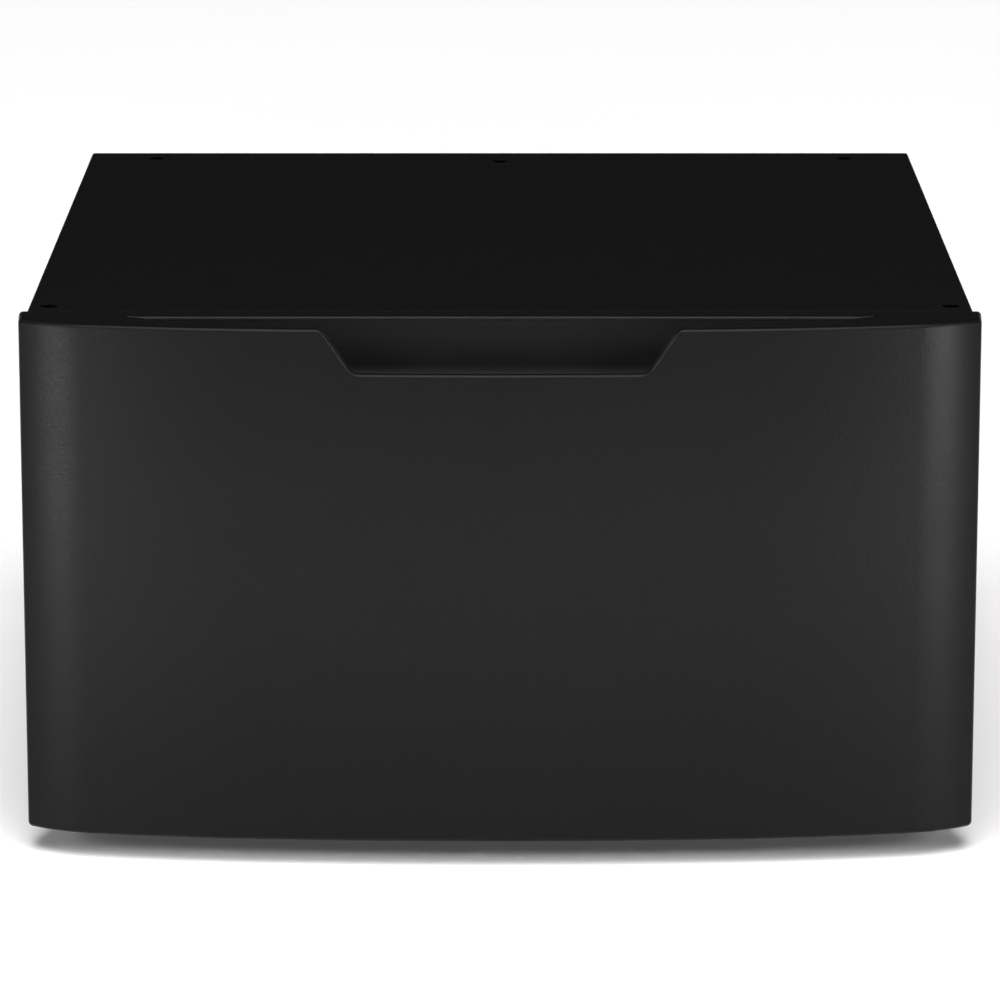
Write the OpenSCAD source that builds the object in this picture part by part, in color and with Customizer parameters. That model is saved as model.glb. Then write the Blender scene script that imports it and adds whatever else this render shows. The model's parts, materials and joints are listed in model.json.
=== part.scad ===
// Laundry pedestal: a sheet metal cabinet with one wide drawer behind a bowed front.
// The origin is on the floor at the middle of the bounding box. The drawer faces -Y and +Z is up.

/* [Drawer front] */
// Width of the bowed front
front_w = 686; // [676:1:700]
// Height of the bowed front
front_h = 375; // [350:1:420]
// Height of the front's lower edge above the floor
front_rise = 19; // [16:1:22]
// How far the middle of the bow stands ahead of the cabinet
bow_d = 68.5; // [64:0.5:80]
// Radius of the bow across its middle
bow_r = 2620; // [2300:10:3200]
// Radius of the bow's cheeks, left and right of the middle
cheek_r = 1080; // [900:10:1300]
// Radius of the bow's shoulders, near the sides
shoulder_r = 112; // [100:1:120]
// Radius of the upright corners of the front
corner_r = 5; // [4.5:0.1:7]
// Width of each cheek
cheek_w = 121; // [110:1:135]
// Width of each shoulder, up to the side of the front
shoulder_w = 46.7; // [44:0.1:50]
// Wall of the front skin
skin_t = 2; // [1.5:0.1:2.5]
// Thickness of the folded lip that the hand pulls
lip_t = 4; // [3:0.1:4.4]
// Height of the folded lip
lip_h = 42; // [38:1:45]
// Gap between the front and the cabinet when the drawer is shut
shut_gap = 2; // [1.5:0.1:4]

/* [Handle] */
// Distance from the cabinet's face to the pocket's rear wall
pocket_setback = 19; // [17:0.5:24]
// Width of the pocket along its rear wall
pocket_rear_w = 530; // [470:1:560]
// Width of the pocket where its slanted ends meet the lip
pocket_front_w = 435; // [400:1:450]
// Distance from the cabinet's face to the front of the pocket's slanted ends
pocket_reach = 58; // [55:0.5:60]
// Depth of the pocket below the top
pocket_deep = 46; // [40:1:60]
// Wall of the pocket moulding
pocket_wall = 2; // [1.5:0.1:2.4]
// Width of the rim that the pocket hangs by, under the deck
pocket_rim = 3.5; // [2:0.1:5]
// Width of the hand notch at the top of the lip
notch_top_w = 250.4; // [200:0.2:300]
// Width of the hand notch at its bottom
notch_bottom_w = 207.2; // [160:0.2:240]
// Depth of the hand notch
notch_deep = 32; // [20:0.5:36]
// Radius of the notch's upper corners
notch_top_r = 8; // [3:0.5:12]
// Radius of the notch's lower corners
notch_bottom_r = 10; // [3:0.5:14]

/* [Cabinet] */
// Width of the cabinet
cabinet_w = 675; // [660:1:676]
// Depth of the cabinet
cabinet_d = 653.5; // [620:0.5:700]
// Height of the cabinet's lower edge above the floor
cabinet_rise = 24; // [23:0.5:30]
// Thickness of the cabinet's sheet
sheet_t = 1.2; // [0.9:0.1:1.5]
// Height of the top panel's folded edge
top_fold = 18; // [14:1:24]
// Seam between the top panel's fold and the sheet under it
seam = 0.8; // [0.3:0.1:1.5]
// Width of the side panels' folds at the front of the cabinet
face_fold = 20; // [18:0.5:26]
// Length of the folds' returns behind the cabinet's face
face_return = 10; // [5:0.5:14]
// Width of the side panels' folds along the bottom
bottom_fold = 25; // [20:1:30]
// How far the back panel lies inside the cabinet's rear edge
back_recess = 4.5; // [4:0.1:8]
// Height of the front sill
sill_h = 30; // [26:1:36]
// Depth of the sill and of the rear rail
sill_d = 25; // [20:1:30]
// Height from the front opening to the top of the cabinet
top_rail_h = 45; // [38:1:55]
// Depth of the front top rail
top_rail_d = 28; // [22:1:34]
// Height of the braces under the top panel
brace_h = 25; // [20:1:32]
// Width of the braces' webs
brace_web = 50; // [40:1:60]
// Width of the flanges that join the braces to the top panel
brace_flange = 12; // [8:1:14]
// Distance from the cabinet's face to the middle of the front brace
brace_front_in = 78; // [74:1:120]
// Distance from the cabinet's rear edge to the middle of the rear brace
brace_rear_in = 91; // [88:1:140]
// Height of the ribs stamped in the back panel
back_rib_h = 30; // [20:1:40]
// Depth of the ribs stamped in the back panel
back_rib_d = 3; // [2:0.5:4]

/* [Holes in the top] */
// Radius of the fixing holes
fix_r = 6.5; // [5:0.25:7]
// Distance from the front holes to the cabinet's sides
fix_front_side = 14.5; // [12:0.5:30]
// Distance from the front holes to the cabinet's face
fix_front_in = 18; // [14:0.5:30]
// Distance from the rear holes to the cabinet's sides
fix_rear_side = 54.5; // [30:0.5:90]
// Distance from the rear holes to the cabinet's rear edge
fix_rear_in = 25.5; // [16:0.5:32]
// Distance from the middle hole to the cabinet's rear edge
fix_mid_in = 40; // [20:0.5:42]

/* [Drawer box] */
// Thickness of the drawer's sheet
box_t = 1; // [0.8:0.1:1.4]
// Length of the drawer box
box_l = 567.5; // [560:0.5:575]
// Room between the sill and the drawer box
box_foot_room = 11; // [8:1:20]
// Room between the drawer box and the top of the opening
box_head_room = 29; // [20:1:60]
// Width of the folds at the drawer sides' upper edges
hem_w = 10; // [7:0.5:14]
// Height of those folds' returns
hem_h = 8; // [5:0.5:11]
// Width of the ledges that carry the drawer's floor
ledge_w = 12; // [8:0.5:16]
// How much lower the drawer's front and back are than its sides
end_drop = 12; // [12:1:30]
// Width of the folds where the drawer's front and back meet its sides
end_fold = 12; // [8:1:16]
// Width of the beads pressed in the drawer's floor
bead_w = 10; // [6:1:16]
// Height of the beads pressed in the drawer's floor
bead_h = 1.5; // [1:0.1:3]
// Distance between the beads
bead_pitch = 110; // [80:1:130]

/* [Slides] */
// How far the drawer opens
travel = 500; // [400:5:510]
// Length of the slides' outer members
slide_l = 550; // [540:1:560]
// Height of the slides
slide_h = 45.7; // [45:0.1:50]
// Thickness of the slides
slide_t = 12.7; // [12.5:0.1:14]
// Thickness of the members' steel
member_t = 1.2; // [1:0.05:1.25]
// Distance from the cabinet's face to the outer members
slide_in = 22.5; // [18:0.5:30]
// Height of the slides' middle above the bottom of the drawer box
slide_rise = 125; // [60:1:150]
// Diameter of the balls between the outer and middle members
outer_ball_d = 4.76; // [4.5:0.01:4.8]
// Diameter of the balls between the middle and inner members
inner_ball_d = 4; // [3.6:0.05:4.1]
// Space between a ball and the steel
ball_room = 0.25; // [0.2:0.01:0.3]
// Number of balls in each row
balls_in_row = 9; // [5:1:10]
// Distance between the balls in a row
ball_pitch = 28; // [20:0.5:29]
// Length of the ball cages
cage_l = 260; // [255:1:270]
// Space between the side panels' folds and the slides
slide_room = 0.5; // [0.3:0.1:2]
// Length of a slide release lever's arm
lever_l = 55; // [40:1:60]

/* [Feet] */
// Diameter of the foot pads
pad_d = 44; // [36:1:50]
// Height of the foot pads
pad_h = 11; // [10.5:0.1:11.5]
// Diameter of the threaded studs
stud_d = 10; // [8:0.5:12]
// Length of the studs above their collars
stud_l = 41.7; // [41:0.1:44]
// Width across the flats of the nuts and collars
nut_af = 17; // [16:0.5:19]
// Height of the studs' collars
collar_h = 5; // [4:0.1:5.2]
// Height of the lock nuts
lock_nut_h = 6; // [4:0.1:6.2]
// Height of the weld nuts
weld_nut_h = 8; // [6:0.5:9]
// Plate of the foot brackets
bracket_t = 3; // [2:0.5:4]
// Distance from the feet to the cabinet's sides
foot_side_in = 39.5; // [38:0.5:60]
// Distance from the front feet to the cabinet's face
foot_front_in = 58.5; // [56:0.5:62]
// Distance from the rear feet to the cabinet's rear edge
foot_rear_in = 59; // [56:0.5:62]

/* [Hidden] */
// Clearances
fit = 0.1;
run = 0.1;
play = 0.3;
over = 1;
least_r = 0.3;
least_step = 0.01;
bow_steps = 6;
shoulder_steps = 10;
corner_steps = 5;
round_fn = 48;
ball_fn = 32;
hex_fn = 6;

// Levels and planes of the whole
top_z = front_rise + front_h;
total_d = cabinet_d + bow_d;
bow_y = -total_d / 2;
face_y = bow_y + bow_d;
rear_y = total_d / 2;
cab_x = cabinet_w / 2;
front_x = front_w / 2;
back_y = face_y - shut_gap;

// Cabinet
side_x = cab_x - sheet_t;
open_x = cab_x - face_fold;
under_top_z = top_z - sheet_t;
side_top_z = top_z - top_fold - seam;
base_z = cabinet_rise + sheet_t;
open_z0 = cabinet_rise + sill_h;
open_z1 = top_z - top_rail_h;
tab_lap = 6;
back_out_y = rear_y - back_recess;
back_in_y = back_out_y - sheet_t;
flange_y = back_in_y - sheet_t;
top_return = 11;
brace_gap = 0.2;
mid_z = (cabinet_rise + top_z) / 2;
back_rib_margin = 76;
back_rib_pitch = 110;
back_ribs = [for (i = [-1:1]) mid_z + i * back_rib_pitch];

// Drawer box
slide_x = open_x - slide_room;
box_x = slide_x - slide_t;
box_in_x = box_x - box_t;
box_z0 = open_z0 + box_foot_room;
box_z1 = open_z1 - box_head_room;
floor_z = box_z0 + box_t;
box_y0 = back_y;
box_y1 = box_y0 + box_l;
bead_margin = 45;
bead_count = 5;

// Slides, seen from the end: z is counted from the middle of the slide
slide_z = box_z0 + slide_rise;
slide_y0 = face_y + slide_in;
slide_y1 = slide_y0 + slide_l;
outer_in_z = slide_h / 2 - member_t;
middle_out_z = outer_in_z - outer_ball_d - 2 * ball_room;
middle_in_z = middle_out_z - member_t;
inner_out_z = middle_in_z - inner_ball_d - 2 * ball_room;
outer_row_z = (outer_in_z + middle_out_z) / 2;
inner_row_z = (middle_in_z + inner_out_z) / 2;
web_gap = 1;
strip_t = 0.5;
outer_web_x = slide_x - member_t;
middle_web_x1 = outer_web_x - web_gap;
middle_web_x0 = middle_web_x1 - member_t;
outer_tip_in = 2;
middle_tip_in = 2.7;
inner_tip_gap = 1.4;
outer_tip_x = box_x + outer_tip_in;
middle_tip_x = box_x + middle_tip_in;
tip_lip_w = 1;
outer_lip_h = 1.6;
middle_lip_h = 1.5;
inner_web_x1 = box_x + member_t;
inner_tip_x = middle_web_x0 - inner_tip_gap;
outer_ball_x = outer_tip_x + tip_lip_w + play + outer_ball_d / 2;
inner_ball_x = middle_tip_x + tip_lip_w + play + inner_ball_d / 2;
outer_cage_x = (outer_web_x + middle_web_x1) / 2;
inner_cage_x = (middle_web_x0 + inner_tip_x) / 2;
cage_tab_t = 0.8;
cage_end = 10;
middle_back = 2;
middle_short = 14;
inner_ahead = 14;
middle_y0 = slide_y0 + middle_back;
middle_l = slide_l - middle_short;
inner_y0 = slide_y0 - inner_ahead;
inner_l = slide_l;
outer_cage_y0 = slide_y0 + travel / 4 + cage_end;
inner_cage_y0 = middle_y0 + travel / 4 + cage_end;
lever_from_end = 110;
lever_pivot_y = inner_y0 + lever_from_end;
lever_pin_r = 2.5;
pin_head_w = 1;
lever_boss_r = 5;
lever_arm_h = 5;
lever_t = 3;
lever_tail = 14;

// Slide mounts
mount_web_h = 36;
mount_flange_h = 14;
mount_back = 5;
mount_short = 20;
mount_y0 = slide_y0 + mount_back;
mount_l = slide_l - mount_short;
rivet_r = 2.4;
rivet_head_r = 4.5;
rivet_head_h = 2;
rivet_in = 30;
rivet_ys = [rivet_in, slide_l / 2, slide_l - rivet_in];

// Front
pan_fold = 10;
pan_x = front_x - skin_t - fit;
pan_z0 = front_rise + skin_t + fit;
pan_z1 = top_z - skin_t - fit;
pocket_y = face_y - pocket_setback;
pocket_reach_y = face_y - pocket_reach;
pocket_z = top_z - pocket_deep;
bumper_r = 6;
bumper_stem_r = 2;
bumper_tail = 2;
bumper_from_end = 10;
bumper_x = open_x + face_fold / 2;
bumper_zs = [open_z0 + bumper_from_end, open_z1 - bumper_from_end];

// Screws
screw_r = 2;
screw_hole_r = 2.2;
washer_r = 5.5;
washer_h = 0.8;
head_af = 8;
head_h = 2.7;
screw_l = 10;
back_screw_in = 10;
back_screw_pitch = 140;
rail_screw_pitch = 200;
front_screw_pitch = 160;
front_screw_low = 30;
front_screw_high = 40;
back_screw_x = side_x - back_screw_in;
back_screw_zs = [for (i = [-1:1]) mid_z + i * back_screw_pitch];
rail_screw_xs = [for (i = [-1:1]) i * rail_screw_pitch];
front_screw_xs = [for (i = [-1.5:1:1.5]) i * front_screw_pitch];
front_screw_zs = [box_z0 + front_screw_low, box_z1 - front_screw_high];

// Feet, counted up from the floor
foot_x = cab_x - foot_side_in;
foot_front_y = face_y + foot_front_in;
foot_rear_y = rear_y - foot_rear_in;
disc_r = 8;
disc_h = 4;
disc_z = 4;
pad_skirt_h = 6;
pad_boss_r = 12;
collar_z = pad_h + play;
plate_in = 30;
plate_long = 47;
plate_short = 32;
plate_wall_h = 20;
rail_t = 1.6;
rail_wall_h = 30;

paint = [0.06, 0.06, 0.065];
top_paint = [0.03, 0.03, 0.032];
zinc = [0.62, 0.64, 0.66];
dark_plastic = [0.07, 0.07, 0.075];

// A box between two corners
module block(low, high) {
  translate(low) cube([for (i = [0:2]) high[i] - low[i]]);
}

// What is drawn for the right side is mirrored for the left
module on_side(side) {
  if (side < 0) mirror([1, 0, 0]) children();
  else children();
}

module hex(af, h) {
  cylinder(r = af / sqrt(3), h = h, $fn = hex_fn);
}

// A hole or shaft along X, Y or Z that starts at the given point
module rod_x(at, r, l) {
  translate(at) rotate([0, 90, 0]) cylinder(r = r, h = l, $fn = round_fn);
}

module rod_y(at, r, l) {
  translate(at) rotate([-90, 0, 0]) cylinder(r = r, h = l, $fn = round_fn);
}

module rod_z(at, r, l) {
  translate(at) cylinder(r = r, h = l, $fn = round_fn);
}

// The bow is four arcs on each side of the middle, each tangent to the next
cheek_x0 = front_x - shoulder_w - cheek_w;
shoulder_x0 = front_x - shoulder_w;
turn_1 = asin(cheek_x0 / bow_r);
cheek_cx = (bow_r - cheek_r) * sin(turn_1);
turn_2 = asin((shoulder_x0 - cheek_cx) / cheek_r);
shoulder_cx = cheek_cx + (cheek_r - shoulder_r) * sin(turn_2);
turn_3 = asin((front_x - corner_r - shoulder_cx) / (shoulder_r - corner_r));
bow_cy = bow_y + bow_r;
cheek_cy = bow_cy - (bow_r - cheek_r) * cos(turn_1);
shoulder_cy = cheek_cy - (cheek_r - shoulder_r) * cos(turn_2);
corner_cx = front_x - corner_r;
corner_cy = shoulder_cy - (shoulder_r - corner_r) * cos(turn_3);

function arc(cx, cy, r, from, to, steps) =
  [for (i = [0:steps]) let (a = from + (to - from) * i / steps) [cx + r * cos(a), cy + r * sin(a)]];

function turned(cx, cy, r, from, to, steps) = arc(cx, cy, r, from - 90, to - 90, steps);

// The right half of the bow, from the middle to the side, moved inwards by inset
function half_bow(inset) = concat(
  turned(0, bow_cy, bow_r - inset, 0, turn_1, bow_steps),
  turned(cheek_cx, cheek_cy, cheek_r - inset, turn_1, turn_2, bow_steps),
  turned(shoulder_cx, shoulder_cy, shoulder_r - inset, turn_2, turn_3, shoulder_steps),
  turned(corner_cx, corner_cy, max(corner_r - inset, least_r), turn_3, 90, corner_steps)
);

function drop_repeats(points) =
  [for (i = [0:len(points) - 1]) if (i == 0 || norm(points[i] - points[i - 1]) > least_step) points[i]];

function mirrored(points) = [for (i = [len(points) - 1:-1:1]) [-points[i][0], points[i][1]]];

// The front seen from above: the bow moved inwards, and closed by a straight line at y
module front_plan(inset, y) {
  half = drop_repeats(half_bow(inset));
  side = front_x - inset;
  polygon(concat([[-side, y]], mirrored(half), half, [[side, y]]));
}

// The slanted pocket seen from above, wider by grow at its rear and ends
module pocket_plan(grow) {
  ahead = bow_y - over;
  slant = (pocket_rear_w - pocket_front_w) / 2 / (pocket_reach - pocket_setback);
  rear = pocket_y + grow;
  ahead_half = pocket_front_w / 2 - (pocket_reach_y - ahead) * slant;
  end_grow = grow * sqrt(1 + slant * slant) + grow * slant;
  rear_half = pocket_rear_w / 2 + end_grow;
  polygon([
    [-rear_half, rear],
    [rear_half, rear],
    [ahead_half + end_grow - grow * slant, ahead],
    [-ahead_half - end_grow + grow * slant, ahead]
  ]);
}

// The notch seen from the front, with its top at z = 0
module notch_outline() {
  top_half = notch_top_w / 2;
  bottom_half = notch_bottom_w / 2;
  lean = atan2(notch_deep, top_half - bottom_half);
  bend = tan(lean / 2);
  low_arc = arc(bottom_half - notch_bottom_r * bend, notch_bottom_r - notch_deep, notch_bottom_r, -90, lean - 90, corner_steps);
  high_arc = arc(top_half + notch_top_r * bend, -notch_top_r, notch_top_r, 90 + lean, 90, corner_steps);
  mouth = [[top_half + notch_top_r * bend, over]];
  half = concat(low_arc, high_arc, mouth);
  polygon(concat([for (i = [len(half) - 1:-1:0]) [-half[i][0], half[i][1]]], half));
}

// The notch is cut through the lip and the pocket's front wall, up to the middle of the pocket
module notch_cut() {
  reach = (pocket_y - bow_y) / 2;
  translate([0, bow_y + reach, top_z]) rotate([90, 0, 0]) linear_extrude(reach + over) notch_outline();
}

module front_skin() {
  color(paint) difference() {
    union() {
      difference() {
        translate([0, 0, front_rise]) linear_extrude(front_h) front_plan(0, back_y);
        translate([0, 0, front_rise + skin_t])
          linear_extrude(front_h - 2 * skin_t) front_plan(skin_t, back_y + over);
      }
      lip_doubler();
    }
    translate([0, 0, top_z - skin_t - over]) linear_extrude(skin_t + 2 * over) lip_opening();
    notch_cut();
  }
}

// The deck's opening, which stops at the lip
module lip_opening() {
  intersection() {
    pocket_plan(0);
    front_plan(lip_t, back_y);
  }
}

// The second layer of the folded lip, behind the skin and ahead of the pocket
module lip_doubler() {
  translate([0, 0, top_z - lip_h]) linear_extrude(lip_h - skin_t / 2) intersection() {
    difference() {
      front_plan(skin_t / 2, back_y);
      front_plan(lip_t, back_y);
    }
    pocket_plan(0);
  }
}

module handle_pocket() {
  under_deck = top_z - skin_t;
  color(dark_plastic) difference() {
    union() {
      translate([0, 0, pocket_z - pocket_wall]) linear_extrude(under_deck - pocket_z + pocket_wall) intersection() {
        pocket_plan(pocket_wall);
        front_plan(lip_t + fit, back_y);
      }
      translate([0, 0, under_deck - pocket_wall]) linear_extrude(pocket_wall) intersection() {
        pocket_plan(pocket_wall + pocket_rim);
        front_plan(lip_t + fit, back_y);
      }
    }
    translate([0, 0, pocket_z]) linear_extrude(pocket_deep + over) intersection() {
      pocket_plan(0);
      front_plan(lip_t + fit + pocket_wall, back_y);
    }
    notch_cut();
  }
}

// The flat pan that closes the bowed front from behind
module front_back_pan() {
  color(zinc) difference() {
    block([-pan_x, back_y - pan_fold, pan_z0], [pan_x, back_y, pan_z1]);
    block([-pan_x + box_t, back_y - pan_fold - over, pan_z0 + box_t], [pan_x - box_t, back_y - box_t, pan_z1 - box_t]);
    for (x = front_screw_xs, z = front_screw_zs) rod_y([x, back_y - box_t - over, z], screw_hole_r, box_t + 2 * over);
    for (side = [-1, 1], z = bumper_zs) {
      rod_y([side * bumper_x, back_y - box_t - over, z], bumper_stem_r + fit, box_t + 2 * over);
    }
  }
}

module bumper(side) {
  color(dark_plastic) on_side(side) for (z = bumper_zs) {
    rod_y([bumper_x, back_y, z], bumper_r, shut_gap - play);
    rod_y([bumper_x, back_y - box_t - bumper_tail, z], bumper_stem_r, box_t + bumper_tail);
  }
}

module drawer_box_front() {
  color(zinc) difference() {
    block([-box_in_x + fit, box_y0, floor_z], [box_in_x - fit, box_y0 + end_fold, box_z1 - end_drop]);
    block([-box_in_x + fit + box_t, box_y0 + box_t, floor_z - over],
      [box_in_x - fit - box_t, box_y0 + end_fold + over, box_z1 - end_drop + over]);
    for (x = front_screw_xs, z = front_screw_zs) rod_y([x, box_y0 - over, z], screw_hole_r, box_t + 2 * over);
  }
}

module drawer_back() {
  color(zinc) difference() {
    block([-box_in_x + fit, box_y1 - end_fold, floor_z], [box_in_x - fit, box_y1, box_z1 - end_drop]);
    block([-box_in_x + fit + box_t, box_y1 - end_fold - over, floor_z - over],
      [box_in_x - fit - box_t, box_y1 - box_t, box_z1 - end_drop + over]);
  }
}

module drawer_side(side) {
  color(zinc) on_side(side) difference() {
    union() {
      block([box_in_x, box_y0, box_z0], [box_x, box_y1, box_z1]);
      block([box_in_x - ledge_w, box_y0, box_z0], [box_x, box_y1, floor_z]);
      block([box_in_x - hem_w, box_y0, box_z1 - box_t], [box_x, box_y1, box_z1]);
      block([box_in_x - hem_w, box_y0, box_z1 - hem_h], [box_in_x - hem_w + box_t, box_y1, box_z1]);
    }
    for (y = rivet_ys) rod_x([box_in_x - over, inner_y0 + y, slide_z], rivet_r + fit, box_t + 2 * over);
  }
}

// The floor lies on the sides' ledges, inside the folds of the front and back
module drawer_floor() {
  x1 = box_in_x - 2 * fit - box_t;
  y0 = box_y0 + box_t + fit;
  y1 = box_y1 - box_t - fit;
  color(zinc) difference() {
    union() {
      block([-x1, y0, floor_z], [x1, y1, floor_z + box_t]);
      floor_beads(bead_w, floor_z, floor_z + box_t + bead_h, 0);
    }
    floor_beads(bead_w - 2 * box_t, floor_z - over, floor_z + bead_h, box_t);
  }
}

module floor_beads(w, z0, z1, inset) {
  for (i = [0:bead_count - 1]) {
    x = (i - (bead_count - 1) / 2) * bead_pitch;
    block([x - w / 2, box_y0 + bead_margin + inset, z0], [x + w / 2, box_y1 - bead_margin - inset, z1]);
  }
}

// A hexagon screw with a washer head on a wall that faces +Y, its shank towards -Y
module screw_y(at) {
  translate(at) rotate([-90, 0, 0]) {
    cylinder(r = washer_r, h = washer_h, $fn = round_fn);
    hex(head_af, washer_h + head_h);
    translate([0, 0, -screw_l]) cylinder(r = screw_r, h = screw_l + washer_h, $fn = round_fn);
  }
}

module cabinet_screws() {
  color(zinc) {
    for (side = [-1, 1], z = back_screw_zs) screw_y([side * back_screw_x, back_out_y, z]);
    for (x = rail_screw_xs) screw_y([x, back_out_y, cabinet_rise + sill_h / 2]);
  }
}

module drawer_screws() {
  color(zinc) {
    for (x = front_screw_xs, z = front_screw_zs) screw_y([x, box_y0 + box_t, z]);
    for (side = [-1, 1]) on_side(side) for (y = rivet_ys) {
      rod_x([box_in_x - rivet_head_h, inner_y0 + y, slide_z], rivet_head_r, rivet_head_h);
      rod_x([box_in_x - rivet_head_h, inner_y0 + y, slide_z], rivet_r, rivet_head_h + box_t + member_t);
    }
  }
}

module slide_rivets() {
  color(zinc) for (side = [-1, 1]) on_side(side) for (y = rivet_ys) {
    rod_x([slide_x + sheet_t, slide_y0 + y, slide_z], rivet_head_r, rivet_head_h);
    rod_x([outer_web_x, slide_y0 + y, slide_z], rivet_r, member_t + sheet_t + rivet_head_h);
  }
}

// The top panel is a shallow pan, open below, with round holes for a machine's fixings
module top_panel() {
  color(top_paint) difference() {
    block([-cab_x, face_y, top_z - top_fold], [cab_x, rear_y, top_z]);
    block([-side_x, face_y + sheet_t, top_z - top_fold - over], [side_x, rear_y - sheet_t, under_top_z]);
    for (side = [-1, 1]) {
      rod_z([side * (cab_x - fix_front_side), face_y + fix_front_in, under_top_z - over], fix_r, sheet_t + 2 * over);
      rod_z([side * (cab_x - fix_rear_side), rear_y - fix_rear_in, under_top_z - over], fix_r, sheet_t + 2 * over);
    }
    rod_z([0, rear_y - fix_mid_in, under_top_z - over], fix_r, sheet_t + 2 * over);
  }
}

// Each side panel has a stepped tab behind the top panel's fold, and folds at the front, rear and bottom
module side_panel(side) {
  color(paint) on_side(side) difference() {
    union() {
      block([side_x, face_y, cabinet_rise], [cab_x, rear_y, side_top_z]);
      block([side_x - sheet_t, face_y + 2 * sheet_t + fit, side_top_z - tab_lap],
        [side_x, flange_y - fit, under_top_z - fit]);
      block([open_x, face_y, cabinet_rise], [cab_x, face_y + sheet_t, side_top_z]);
      block([open_x, face_y, open_z0], [open_x + sheet_t, face_y + face_return, side_top_z]);
      block([side_x - face_fold, flange_y, cabinet_rise], [side_x, back_in_y, side_top_z]);
      block([side_x - bottom_fold, face_y, cabinet_rise], [side_x, back_in_y, base_z]);
    }
    for (z = back_screw_zs) rod_y([back_screw_x, flange_y - over, z], screw_hole_r, sheet_t + 2 * over);
    block([0, face_y - over, cabinet_rise - over], [open_x, face_y + sill_d + fit, base_z + over]);
    block([0, flange_y - sill_d, cabinet_rise - over], [side_x - face_fold, back_in_y + over, base_z + over]);
  }
}

// The back panel has long ribs pressed inwards
module back_panel() {
  color(paint) difference() {
    union() {
      block([-side_x + fit, back_in_y, cabinet_rise], [side_x - fit, back_out_y, under_top_z - fit]);
      for (z = back_ribs) {
        block([-side_x + back_rib_margin, back_in_y - back_rib_d, z - back_rib_h / 2],
          [side_x - back_rib_margin, back_out_y, z + back_rib_h / 2]);
      }
    }
    for (z = back_ribs) {
      block([-side_x + back_rib_margin + sheet_t, back_out_y - back_rib_d, z - back_rib_h / 2 + sheet_t],
        [side_x - back_rib_margin - sheet_t, back_out_y + over, z + back_rib_h / 2 - sheet_t]);
    }
    for (side = [-1, 1], z = back_screw_zs) {
      rod_y([side * back_screw_x, back_in_y - over, z], screw_hole_r, sheet_t + 2 * over);
    }
    for (x = rail_screw_xs) {
      rod_y([x, back_in_y - over, cabinet_rise + sill_h / 2], screw_hole_r, sheet_t + 2 * over);
    }
  }
}

// The rail over the opening, with a stepped tab behind the top panel's fold
module front_top_rail() {
  x = open_x - fit;
  color(paint) union() {
    block([-x, face_y, open_z1], [x, face_y + sheet_t, side_top_z]);
    block([-x, face_y + sheet_t, side_top_z - tab_lap], [x, face_y + 2 * sheet_t, under_top_z]);
    block([-x, face_y, open_z1], [x, face_y + top_rail_d, open_z1 + sheet_t]);
    block([-x, face_y + top_rail_d - sheet_t, open_z1], [x, face_y + top_rail_d, open_z1 + top_return]);
  }
}

// A channel along X between the side panels' folds, open towards the middle of the cabinet
module channel_x(x, y_wall, y_open) {
  toward = sign(y_open - y_wall);
  wall = y_wall + toward * sheet_t;
  y0 = min(y_wall, y_open);
  y1 = max(y_wall, y_open);
  block([-x, min(y_wall, wall), cabinet_rise], [x, max(y_wall, wall), open_z0]);
  block([-x, y0, cabinet_rise], [x, y1, base_z]);
  block([-x, y0, open_z0 - sheet_t], [x, y1, open_z0]);
}

module front_sill() {
  color(paint) channel_x(open_x - fit, face_y, face_y + sill_d);
}

module rear_bottom_rail() {
  color(zinc) difference() {
    channel_x(side_x - face_fold - fit, back_in_y, back_in_y - sill_d);
    for (x = rail_screw_xs) {
      rod_y([x, flange_y - over, cabinet_rise + sill_h / 2], screw_hole_r, sheet_t + 2 * over);
    }
  }
}

// The base rails run between the foot brackets, on the side panels' bottom folds
module base_rail(side) {
  y0 = foot_front_y + plate_short + fit;
  y1 = foot_rear_y - plate_short - fit;
  x0 = side_x - bottom_fold;
  color(zinc) on_side(side) union() {
    block([x0, y0, base_z], [side_x, y1, base_z + rail_t]);
    block([side_x - rail_t, y0, base_z], [side_x, y1, base_z + rail_wall_h]);
    block([x0, y0, base_z], [x0 + rail_t, y1, base_z + rail_wall_h / 2]);
  }
}

// A hat channel under the top panel, where the machine's feet stand
module top_brace(y) {
  x = side_x - sheet_t - brace_gap;
  half = brace_web / 2;
  z0 = under_top_z - brace_h;
  color(zinc) union() {
    block([-x, y - half, z0], [x, y + half, z0 + sheet_t]);
    for (toward = [-1, 1]) {
      wall = y + toward * half;
      inner = wall - toward * sheet_t;
      outer = wall + toward * brace_flange;
      block([-x, min(wall, inner), z0], [x, max(wall, inner), under_top_z]);
      block([-x, min(inner, outer), under_top_z - sheet_t], [x, max(inner, outer), under_top_z]);
    }
  }
}

// A foot bracket lies on the side panel's bottom fold and on the rail across the cabinet
module foot_bracket(side, end) {
  y = end < 0 ? foot_front_y : foot_rear_y;
  y0 = end < 0 ? y - plate_long : y - plate_short;
  y1 = end < 0 ? y + plate_short : y + plate_long;
  x0 = foot_x - plate_in;
  plate_top = base_z + bracket_t;
  color(zinc) on_side(side) difference() {
    union() {
      block([x0, y0, base_z], [side_x, y1, plate_top]);
      block([side_x - bracket_t, y0, base_z], [side_x, y1, plate_top + plate_wall_h]);
      block([x0, y0, base_z], [x0 + bracket_t, y1, plate_top + plate_wall_h]);
      translate([foot_x, y, plate_top]) hex(nut_af, weld_nut_h);
    }
    rod_z([foot_x, y, base_z - over], stud_d / 2 + run, bracket_t + weld_nut_h + 2 * over);
  }
}

module at_foot(side, end) {
  translate([side * foot_x, end < 0 ? foot_front_y : foot_rear_y, 0]) children();
}

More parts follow.
